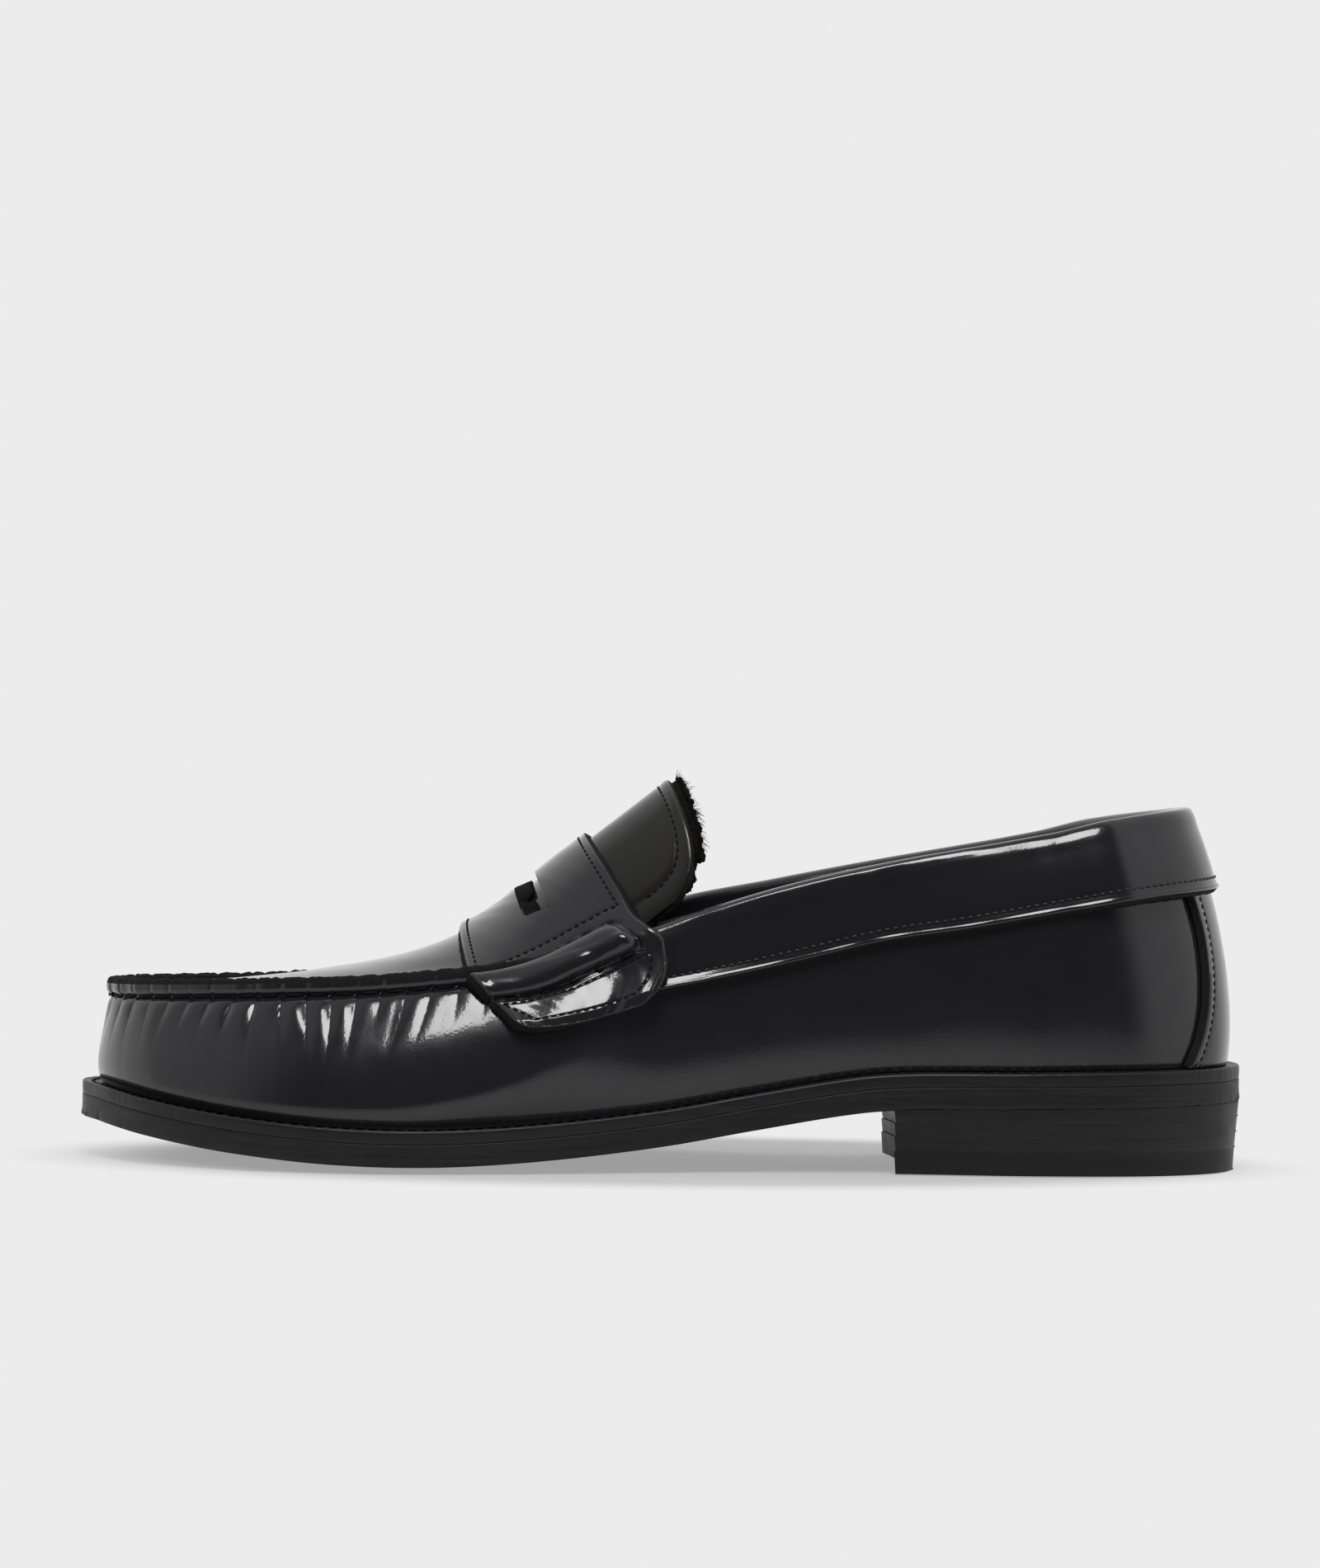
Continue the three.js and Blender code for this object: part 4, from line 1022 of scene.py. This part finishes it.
def strap_lines(side):
    """The strap's stitch lines on one side, as broken lines of flat places (across, along)."""
    lines = {"front": [(FRONT_ROW, 0.0), (FRONT_ROW, ROW[0][1])],
             "back": [(BACK_ROW, 0.0), (BACK_ROW, ROW[-1][1])],
             "row": ROW, "box": BOX, "upper": UPPER_CREASE, "lower": LOWER_CREASE}
    return {key: [(side * v * STRAP_HALF, u * STRAP_DEEP) for u, v in line] for key, line in lines.items()}


def roll_height(u, v):
    """The tube of leather over the moccasin seam, closed at the back."""
    middle = lerp(ROLL_FRONT, ROLL_BACK, smooth(u, 0, 0.7))
    half = ROLL_HALF * lerp(0.9, 1.0, smooth(u, 0, 0.5))
    past = np.clip((u - (ROLL_END - 0.15)) / 0.15, 0, 1)
    across = (np.abs(v) - middle) / (half * np.sqrt(np.clip(1 - past**2, 1e-4, 1)))
    ripple = 1 + 0.07 * wave_noise(u * 40, 71, low=1 / 60, high=1 / 14)
    body = np.sqrt(np.clip(1 - np.abs(across) ** 2.2, 0, 1))
    return lerp(2.9, 4.5, smooth(u, 0.0, 0.7)) * body * (1 - past**3) ** 0.5 * ripple


BOX_START, BOX_WIDTH = 0.755, 0.19  # the v where the flat box below the roll starts, and how far it is shaped
BOX_LEAN = 0.7, 9.5  # how steeply it stands out at its front, and how much more towards its back
BOX_DIP, BOX_FLARE, BOX_FRONT_LIFT = 4, 25, 1.7


def strap_relief(flat):
    """How far the strap stands out: roll, box, step over the collar, seams, creases and a soft edge."""
    v, u = flat[:, 0] / STRAP_HALF, flat[:, 1] / STRAP_DEEP
    reach = np.abs(v)
    relief = roll_height(u, v)
    relief += (LEATHER + GAP) * 1.1 * smooth(u, 0.55, 0.95) * smooth(reach, 0.5, 0.66)
    past = np.clip(reach - BOX_START, 0, BOX_WIDTH)
    lean = BOX_LEAN[0] + BOX_LEAN[1] * np.minimum(u, 0.55) - BOX_DIP * bell(u - 0.7, 0.07)
    front_lift = BOX_FRONT_LIFT * np.clip(1 - u / 0.45, 0, 1) * smooth(past, 0, 0.05)
    relief += lean * past + BOX_FLARE * past**2 + front_lift
    sides = [strap_lines(side) for side in (-1, 1)]
    for keys, depth, width in ((("front", "back", "row", "box"), 0.16, 0.42), (["upper"], 0.55, 0.55),
                               (["lower"], 0.6, 0.6)):
        nearest = np.min([distance_to(flat, lines[key]) for lines in sides for key in keys], axis=0)
        relief += trench(nearest, depth, width)
    edge = np.minimum(flat[:, 1] + 0.6, STRAP_DEEP - flat[:, 1])
    relief += 0.2 * bell(edge - 1.0, 0.8)
    ripples = 0.10 * np.sin(u * 17 + 3 * reach) * smooth(reach, 0.75, 0.85)
    return relief + ripples + 0.04 * wave_noise(flat[:, 0] + 2 * flat[:, 1], 77)


def strap_surf(flat, off):
    v, u = flat[:, 0] / STRAP_HALF, flat[:, 1] / STRAP_DEEP
    lift = strap_relief(flat) + off + GAP + LEATHER
    return strap_point(u, v) + strap_normal(u, v) * lift[:, None]


# The penny slot's edges along and across the strap, its skived front lip's width and its notches' place.
SLOT = {"front": 0.32 * STRAP_DEEP, "back": 0.487 * STRAP_DEEP, "reach": 0.405 * STRAP_HALF,
        "lip": 0.1 * STRAP_DEEP, "notch": 21.5}


def slot_outline():
    """The penny slot, a long slit with a rounded corner at each end of its front."""
    reach, front, back, lip = SLOT["reach"], SLOT["front"], SLOT["back"], SLOT["lip"]
    side = [(reach + 0.9, back), (reach, front + lip * 0.7), (reach - 0.5, front + 0.6), (reach - 1.8, front),
            (reach - 12.5, front), (3.0, front)]
    return np.array(side + [(-a, b) for a, b in side[::-1]])


def in_slot(flat):
    """Whether flat places fall inside the slot's outline."""
    line = slot_outline()
    inside = np.zeros(len(flat), bool)
    for (a0, b0), (a1, b1) in zip(line, np.roll(line, -1, 0)):
        crosses = (b0 > flat[:, 1]) != (b1 > flat[:, 1])
        with np.errstate(divide="ignore", invalid="ignore"):
            meet = a0 + (flat[:, 1] - b0) * (a1 - a0) / (b1 - b0)
        inside ^= crosses & (flat[:, 0] < meet)
    return inside


WING_EDGE = profile([(0.0, 0.968), (0.5, 0.965), (0.575, 0.955), (0.63, 1.0), (0.69, 1.008), (0.78, 0.985),
                     (0.86, 1.01), (0.93, 1.045), (1.0, 1.07)])


CORNER_FRONT, CORNER_BACK = 3.4, 5.0
WING_LENGTH = 0.78  # the wing's real length across, as a share of its flat length


def hand_stitches(side, count=9):
    """Short stitches slanting over the lower crease."""
    q = np.linspace(-1.1, 1.1, count)[:, None]
    height = -0.25 + 0.75 * np.sin(np.linspace(0, np.pi, count))
    for u in np.arange(0.075, 0.8, 0.165):
        place = np.array([side * np.interp(u, *np.array(LOWER_CREASE).T) * STRAP_HALF, u * STRAP_DEEP])
        line = place + np.array([0.35, 1.0]) * q
        normal = strap_normal(line[:, 1] / STRAP_DEEP, line[:, 0] / STRAP_HALF)
        yield strap_surf(line, 0.0) + normal * height[:, None]


def strap():
    v = np.linspace(-1, 1, 441)
    a = STRAP_HALF * v

    def bite(radius):
        past = np.clip(np.abs(a) * WING_LENGTH - (STRAP_HALF * WING_LENGTH - radius), 0, radius)
        return radius - np.sqrt(np.clip(radius**2 - past**2, 0, None))

    low = -0.4 + bite(CORNER_FRONT)
    high = STRAP_DEEP * WING_EDGE(np.abs(v)) - bite(CORNER_BACK)
    along = low[:, None] + (high - low)[:, None] * np.linspace(0, 1, 115)
    domain = np.stack([np.broadcast_to(a[:, None], along.shape), along], -1)
    panel("saddle_strap_leather", domain, strap_surf, RAW_EDGE + [(0.66, -5.5)], [LEATHER_LOOK, RAW_LOOK],
          holes=[in_slot], slot="upper_leather", stands_for=["saddle_strap"])
    for side, word in ((-1, "outer"), (1, "inner")):
        lines = strap_lines(side)
        stitches(f"wing_stitches_{word}", *on_line(strap_surf, lines["box"]), THREAD_LOOK, radius=0.33,
                 stands_for=[f"wing_thread_{word}"])
        stitches(f"strap_row_stitches_{word}", *on_line(strap_surf, lines["row"]), THREAD_LOOK, radius=0.3)
        knots = np.array(list(hand_stitches(side)))
        tubes(f"strap_hand_stitches_{word}", knots, np.full(knots.shape[:2], 0.48), THREAD_LOOK, sides=8,
              slot="thread")
    for key, node in (("front", "strap_front_thread"), ("back", "strap_back_thread")):
        line = strap_lines(-1)[key][::-1] + strap_lines(1)[key][1:]
        stitches(f"strap_{key}_stitches", *on_line(strap_surf, line), THREAD_LOOK, pitch=2.0, radius=0.3,
                 stands_for=[node])


strap()


def slot_wall():
    """The cut edge round the slot, skived to a broad band along its front and square along its back:
    near-black, partly its own colour and partly painted shade of the gap under the front lip.
    """
    line = slot_outline()
    line = np.concatenate([line, line[:1]])
    run = run_along(line)
    flat = places_at(line, run, np.linspace(0, run[-1], 420))
    front = 1 - smooth(flat[:, 1], SLOT["front"] + 0.3, SLOT["front"] + SLOT["lip"])
    jag = random.normal(size=len(flat)) * 0.05
    notch = 1 - 0.72 * bell(np.abs(flat[:, 0]) - SLOT["notch"], 1.9)
    rows = []
    for reach, off in ((-0.25, 0.03), (0.1, -0.06), (0.3, -0.35), (0.75, -0.9), (1.0, -1.25), (1.0, -1.75)):
        place = flat.copy()
        if reach > 0:
            place[:, 1] += reach * SLOT["lip"] * front * notch + jag
        else:
            place[:, 1] += 0.3 * reach * np.sign(front - 0.5)
        rows.append(strap_surf(place, off))
    rows = np.stack(rows, 1)
    sweep("slot_edge", rows, [SLOT_EDGE_AND_SHADE_LOOK], np.broadcast_to(UP, rows.shape), slot="upper_leather")


slot_wall()

# ---------------------------------------------------------------- collar, back strip, linings
COLLAR_FRONT = 0.257
COLLAR_TOP = 0.955  # the h where its outer face turns over the topline
COLLAR_INNER = -3.4  # the offset of its turned-in face
COLLAR_ROW = 2.8  # mm from its foot up to its stitches
BEAD_RISE = 2.6
# Its lower edge, as (mm below its foot, offset), and its turned-in end, as (h, mm further in).
COLLAR_RIM = [(0.8, -3.0), (0.8, -1.7), (0.55, -1.3), (0.2, -0.8), (0.02, -0.4), (-0.12, -0.15),
              (-0.35, -0.03), (-0.7, 0.02)]
COLLAR_CUT = 4  # places of the rim on the raw cut
COLLAR_END = [(0.93, 0.1), (0.9, 0.35), (0.865, 0.6), (0.85, 0.9), (0.846, 1.3)]


def collar_lift(t):
    """How far the collar lies off the wall; at the heel it also covers the back strip."""
    over_strip = (LEATHER + GAP) * (1 - smooth(side_of(t), 0.085, 0.11))
    return GAP + LEATHER + over_strip


def h_per_mm(t, h, step=0.02):
    """How much h climbs in one mm up the wall."""
    return step / np.linalg.norm(wall_point(t, h + step) - wall_point(t, h), axis=1)


def collar():
    t = np.linspace(COLLAR_FRONT, -COLLAR_FRONT, 620)
    foot = collar_foot(t)
    height = h_per_mm(t, foot)
    run = run_along(wall_point(t, foot))
    jag = random.normal(size=len(t)) * 0.09
    lift = collar_lift(t)
    foot_flare = 0.28 + 0.42 * smooth(side_of(t), 0.19, 0.25)
    rows = []
    for k, (reach, off) in enumerate(COLLAR_RIM):
        h = foot - (reach + jag * (k < COLLAR_CUT)) * height
        swell = 0.22 * bell(reach + 0.7) + foot_flare * smooth(2.9 + reach, 0, 2.6)
        rows.append(wall(t, h, lift + off + swell))
    for q in np.linspace(0.03, 1, 30) ** 1.15:
        h = lerp(foot + 0.7 * height, COLLAR_TOP, q)
        above, under = (h - foot) / height, (1 - h) / height
        relief = (trench(above - COLLAR_ROW, 0.18, 0.45) + foot_flare * smooth(2.75 - above, 0, 2.4)
                  + 0.25 * bell(under - 4.2, 2.2) + 0.05 * wave_noise(run, 81))
        rows.append(wall(t, h, lift + relief))
    top = wall_point(t, COLLAR_TOP)
    n = wall_normal(t, np.full_like(t, COLLAR_TOP))
    climb = unit(wall_point(t, 0.97) - wall_point(t, 0.94))
    outer = lift + 0.3
    middle, radius = (outer + COLLAR_INNER) / 2, (outer - COLLAR_INNER) / 2
    for angle in np.linspace(0.12, 1, 12) * np.pi:
        rows.append(top + n * (middle + radius * np.cos(angle))[:, None]
                    + climb * (BEAD_RISE * np.sin(angle) ** 0.85))
    rows += [wall(t, h, COLLAR_INNER - further) for h, further in COLLAR_END]
    core = (rows[9] + rows[41]) / 2 - n
    kinds = [1] * COLLAR_CUT + [0] * (len(rows) - COLLAR_CUT - 1)
    rows = np.stack(rows, 1)
    return sweep("collar_leather", rows, [LEATHER_LOOK, RAW_LOOK], rows - core[:, None], kinds=kinds,
                 slot="upper_leather", stands_for=["collar", "topline_tape"])


collar()


def collar_stitching():
    t = np.linspace(0.252, -0.252, 900)
    foot = collar_foot(t)
    p = wall(t, foot + COLLAR_ROW * h_per_mm(t, foot), collar_lift(t) - 0.05)
    stitches("collar_stitches", p, wall_normal(t, foot), CLEAR_THREAD_LOOK, pitch=2.1, radius=0.34,
             stands_for=["collar_thread"])


collar_stitching()

STRIP_WIDE, STRIP_TALL = 470.0, 58.0  # mm to one turn of t, and to the full height


STRIP_ROW, STRIP_TOP = 3.0, 0.86  # mm from its edge to its stitches, and the h it reaches


def strip_surf(flat, off):
    t, h = flat[:, 0] / STRIP_WIDE, flat[:, 1] / STRIP_TALL
    edge = strip_edge(np.clip(h, 0, 1)) * STRIP_WIDE - np.abs(flat[:, 0])
    relief = trench(edge - STRIP_ROW, 0.18, 0.45) + 0.2 * bell(edge - 1.1)
    return wall(t, h, GAP + LEATHER + off + relief)


def back_strip():
    h = np.linspace(0.0, STRIP_TOP, 90)
    half = strip_edge(h) * STRIP_WIDE
    q = np.linspace(-1, 1, 81)
    across = half[:, None] * q[None]
    domain = np.stack([across, np.broadcast_to((h * STRIP_TALL)[:, None], across.shape)], -1)
    panel("back_strip_leather", domain, strip_surf, RAW_EDGE, [LEATHER_LOOK, RAW_LOOK], slot="upper_leather",
          stands_for=["back_strip"])
    for side, word in ((1, "outer"), (-1, "inner")):
        heights = np.linspace(0.03, 0.84, 200)
        flat = np.stack([side * (strip_edge(heights) * STRIP_WIDE - STRIP_ROW), heights * STRIP_TALL], 1)
        p = strip_surf(flat, 0.0)
        stitches(f"back_stitches_{word}", p, unit(strip_surf(flat, 0.5) - p), THREAD_LOOK, pitch=2.0,
                 stands_for=[f"back_thread_{word}"])


back_strip()


LINING_FACE, LINING_BACK = -4.7, -3.8  # the offsets of its seen face and of its back


def quarter_lining():
    t = np.linspace(0.262, -0.262, 260)
    face = [(h, LINING_FACE) for h in np.linspace(0.05, 0.9, 24)]
    back = [(h, LINING_BACK) for h in np.linspace(0.86, 0.05, 5)]
    section = face + [(0.9, LINING_BACK - 0.1)] + back + [(0.05, LINING_FACE)]
    rows = np.stack([wall(t, h, off) for h, off in section], 1)
    facing = -np.broadcast_to(wall_normal(t, np.full_like(t, 0.5))[:, None], rows.shape).copy()
    facing[:, len(face):] *= -1
    return sweep("quarter_lining_leather", rows, [LINING_LOOK], facing, slot="lining_leather",
                 stands_for=["quarter_lining"])


quarter_lining()

# ---------------------------------------------------------------- tongue
TONGUE_SLOPE = math.atan2(float(crest(-4.0) - crest(-16.0)), 12.0)
TONGUE_WAY = np.array([math.cos(TONGUE_SLOPE), 0, math.sin(TONGUE_SLOPE)])
TONGUE_WIDE = 33.0  # mm to one side
TONGUE_ROW = 3.1  # mm from its edge to its stitches


def tongue_point(d, g):
    return arch_point(np.ones_like(d), g, TONGUE_INSET) + TONGUE_WAY * d[..., None]


def tongue_surf_at(base):
    """Lays flat places (across, along) on the tongue, base mm off its face, which has a sewn groove."""

    def surf(flat, off):
        g, d = flat[:, 0] / TONGUE_WIDE, flat[:, 1]
        lift = np.full(len(flat), base + off)
        if base == 0:
            edge = tongue_edge_distance(flat)
            lift += trench(edge - TONGUE_ROW, 0.22, 0.6) + 0.12 * bell(edge - 1.1)
        n = normal_of(tongue_point, d, np.clip(g, -0.985, 0.985), UP, 4e-3)
        return tongue_point(d, g) + n * lift[:, None]

    return surf


def tongue_outline(grow=0.0, steps=181, tip=0.0):
    """The tongue's rounded end, from one side over the tip to the other; tip is extra growth at the end."""
    angle = np.linspace(0, np.pi, 1201)
    power = 2 / TONGUE_FULLNESS
    d = TONGUE_REACH * np.sin(angle) ** power
    a = -TONGUE_HALF * TONGUE_WIDE * np.sign(np.cos(angle)) * np.abs(np.cos(angle)) ** power
    line = np.stack([a, d], 1)
    out = outline_normals(np.concatenate([line, [[0, -1]]]))[:-1]
    out[0], out[-1] = (-1, 0), (1, 0)
    line += out * (grow + tip * smooth(d, 14, 21))[:, None]
    run = run_along(line)
    return places_at(line, run, np.linspace(0, run[-1], steps))


TONGUE_EDGE = np.concatenate([[[-TONGUE_HALF * TONGUE_WIDE, -8]], tongue_outline(),
                              [[TONGUE_HALF * TONGUE_WIDE, -8]]])


def tongue_edge_distance(flat):
    return distance_to(flat, TONGUE_EDGE)


def tongue_domain(grow, rows, columns, tip=0.0):
    """Places over the tongue, spread like a fan so that its edge follows the outline."""
    edge = tongue_outline(grow, columns, tip)
    root = np.stack([np.linspace(edge[0, 0], edge[-1, 0], columns), np.full(columns, -5.0)], 1)
    q = np.linspace(0, 1, rows)[:, None, None]
    return root[None] * (1 - q) + edge[None] * q


def tongue():
    panel("tongue_leather", tongue_domain(0.0, 60, 161), tongue_surf_at(0.0), RAW_EDGE[:5] + [(0.3, -1.3)],
          [TONGUE_LOOK, RAW_LOOK], body="tongue", slot="upper_leather", stands_for=["tongue"])
    panel("tongue_suede", tongue_domain(-0.1, 44, 241, 2.6), tongue_surf_at(-1.45),
          [(-0.3, 0), (0.0, -0.1), (0.1, -0.5), (0.0, -1.1), (-1.2, -1.25)], [SUEDE_LOOK, SUEDE_LOOK],
          ragged=0.55, raw_from=1, body="tongue", slot="suede", stands_for=["tongue_lining"])
    domain = tongue_domain(-0.4, 30, 81)
    flat = domain.reshape(-1, 2)
    points = tongue_surf_at(-2.7)(flat, 0.0)
    make("tongue_suede_underside", points, grid_faces(*domain.shape[:2]), [SUEDE_LOOK], body="tongue",
         slot="suede", facing=points - tongue_surf_at(0.0)(flat, 0.0))
    row = tongue_outline(-TONGUE_ROW)[4:-4]
    stitches("tongue_stitches", *on_line(tongue_surf_at(0.0), row), THREAD_LOOK, pitch=2.1, radius=0.3,
             body="tongue", stands_for=["tongue_thread"])


tongue()


def frayed_edge():
    """Loose suede fibres standing out of the lining's cut edge, longest near the tip."""
    surf = tongue_surf_at(-1.6)
    edge = tongue_outline(-0.2, 901, 2.5)
    out = outline_normals(np.concatenate([edge, [[0, -30]]]))[:len(edge)]
    count, places = 1900, 7
    pick = random.integers(20, 880, count)
    tip = smooth(edge[pick, 1], 15, 23)
    tuft = np.clip(0.7 + 0.5 * wave_noise(pick / 9.0, 91, low=1 / 14, high=1 / 3), 0.2, 2)
    length = (0.3 + 1.6 * random.random(count) ** 3) * (0.12 + 1.1 * tip) * tuft
    lean = random.normal(size=count) * 0.7
    depth = 0.5 - random.random(count) * 1.6
    q = np.linspace(0, 1, places)
    way = out[pick]
    root, along = edge[pick] - way * 0.5, np.stack([-way[:, 1], way[:, 0]], 1)
    curl = random.normal(size=(count, 2)) * 0.5
    lines = []
    for k in range(places):
        step = length * q[k]
        sway = lean * step + curl[:, 0] * np.sin(3 * q[k]) * 0.5
        p = root + way * step[:, None] + along * sway[:, None]
        lines.append(surf(p, depth + curl[:, 1] * q[k] * length * 0.8))
    centres = np.stack(lines, 1)
    radii = lerp(0.1, 0.025, q)[None] * random.uniform(0.7, 1.6, (count, 1))
    tubes("tongue_frayed_fibres", centres, radii, SUEDE_LOOK, sides=4, body="tongue", slot="suede")


frayed_edge()

# ---------------------------------------------------------------- camera, floor, light
# Level with the topline, facing the outer side.
CAMERA_PLACE, CAMERA_ROLL = (-0.00055, -1.116, 0.0967), -0.0122
CAMERA_LENS, CAMERA_SENSOR = 99.3, 36.0  # mm


def camera():
    data = bpy.data.cameras.new("camera")
    data.lens, data.sensor_width = CAMERA_LENS, CAMERA_SENSOR
    data.clip_start, data.clip_end = 0.05, 50
    made = bpy.data.objects.new("camera", data)
    made.location = CAMERA_PLACE
    made.rotation_euler = (math.pi / 2, CAMERA_ROLL, 0)
    bpy.context.scene.collection.objects.link(made)
    bpy.context.scene.camera = made


camera()

PALE = 0.838  # the backdrop's even tone
FLOOR_TONE, FLOOR_GLOW = 0.29, 0.33
SHADED = (0.16, 0.08), 0.75, 1.1  # the shaded patch's half sides, and the shares of them where it fades
FADING = (0.30, 0.165), 0.66, 1.25  # and where the floor turns clear


def floor():
    """A pale floor: shadowed near the shoe, then evenly bright, then running out into the backdrop."""
    corners = [(-1, -0.6), (1, -0.6), (1, 1.2), (-1, 1.2)]
    mesh = bpy.data.meshes.new("floor")
    mesh.from_pydata([(x, y, -0.0003) for x, y in corners], [], [(0, 1, 2, 3)])
    made = bpy.data.objects.new("floor", mesh)
    bpy.context.scene.collection.objects.link(made)
    material = bpy.data.materials.new("pale_floor")
    graph = Graph(material, clear=True)
    where = graph.node("ShaderNodeTexCoord").outputs["Object"]

    def outside(half_sides, near, far):
        scale = (1 / half_sides[0], 1 / half_sides[1], 1)
        scaled = graph.calc("MULTIPLY", where, scale, kind="ShaderNodeVectorMath")
        away = graph.calc("LENGTH", scaled.outputs[0], kind="ShaderNodeVectorMath")
        return graph.spread(away.outputs["Value"], 0, 1, near, far, interpolation_type="SMOOTHSTEP")

    lit = graph.node("ShaderNodeBsdfPrincipled", Base_Color=(FLOOR_TONE, FLOOR_TONE, FLOOR_TONE, 1),
                     Specular_IOR_Level=0.0, Emission_Color=(1, 1, 1, 1), Emission_Strength=FLOOR_GLOW)
    glow = graph.node("ShaderNodeEmission", Strength=PALE)
    clear = graph.node("ShaderNodeBsdfTransparent")
    near_shoe = graph.mix(outside(*SHADED), lit.outputs[0], glow.outputs[0])
    surface = graph.mix(outside(*FADING), near_shoe, clear.outputs[0])
    graph.link(surface, graph.node("ShaderNodeOutputMaterial").inputs[0])
    mesh.materials.append(material)


floor()


def softbox(name, place, target, size, radiance):
    """A rectangular light; radiance is how bright its face is."""
    data = bpy.data.lights.new(name, "AREA")
    data.shape = "RECTANGLE"
    data.size, data.size_y = size
    data.energy = radiance * math.pi * size[0] * size[1]
    made = bpy.data.objects.new(name, data)
    made.location = place
    made.rotation_euler = (Vector(target) - Vector(place)).to_track_quat("-Z", "Y").to_euler()
    made.visible_camera = False
    bpy.context.scene.collection.objects.link(made)


softbox("overhead_front", (0.0, -0.61, 0.94), (0.0, 0, 0.05), (0.40, 0.37), 15.0)


def studio():
    """Bright backdrop behind and above, dark room in front, pale flats at the sides."""
    world = bpy.data.worlds.new("studio")
    bpy.context.scene.world = world
    graph = Graph(world, clear=True)

    def calc(operation, *terms):
        return graph.calc(operation, *terms).outputs[0]

    def share(of, other):
        """One part of the direction, as a share of its length together with another part."""
        both = calc("SQRT", calc("ADD", calc("MULTIPLY", of, of), calc("MULTIPLY", other, other)))
        return calc("DIVIDE", of, calc("MAXIMUM", both, 0.001))

    def ranged(value, start, end, low, high):
        return graph.spread(value, low, high, start, end, interpolation_type="SMOOTHSTEP")

    parts = graph.node("ShaderNodeSeparateXYZ")
    graph.link(graph.node("ShaderNodeTexCoord").outputs["Generated"], parts.inputs[0])
    x, y, z = parts.outputs
    backdrop = ranged(share(y, z), -0.45, 0.5, 0.06, 1.0)
    aside = share(x, y)
    left = ranged(aside, -0.3, -0.9, 0.0, 0.66)
    right = ranged(aside, 0.46, 0.84, 0.0, 0.95)
    tone = calc("MULTIPLY", calc("MAXIMUM", backdrop, calc("MAXIMUM", left, right)), PALE)
    seen = graph.node("ShaderNodeLightPath").outputs["Is Camera Ray"]
    mix = graph.node("ShaderNodeMix")
    graph.link(seen, mix.inputs[0])
    graph.link(tone, mix.inputs[2])
    mix.inputs[3].default_value = PALE
    background = graph.node("ShaderNodeBackground", Color=(1, 1, 1, 1))
    graph.link(mix.outputs[0], background.inputs["Strength"])
    graph.link(background.outputs[0], graph.node("ShaderNodeOutputWorld").inputs[0])


studio()
bpy.context.scene.view_settings.view_transform = "Standard"
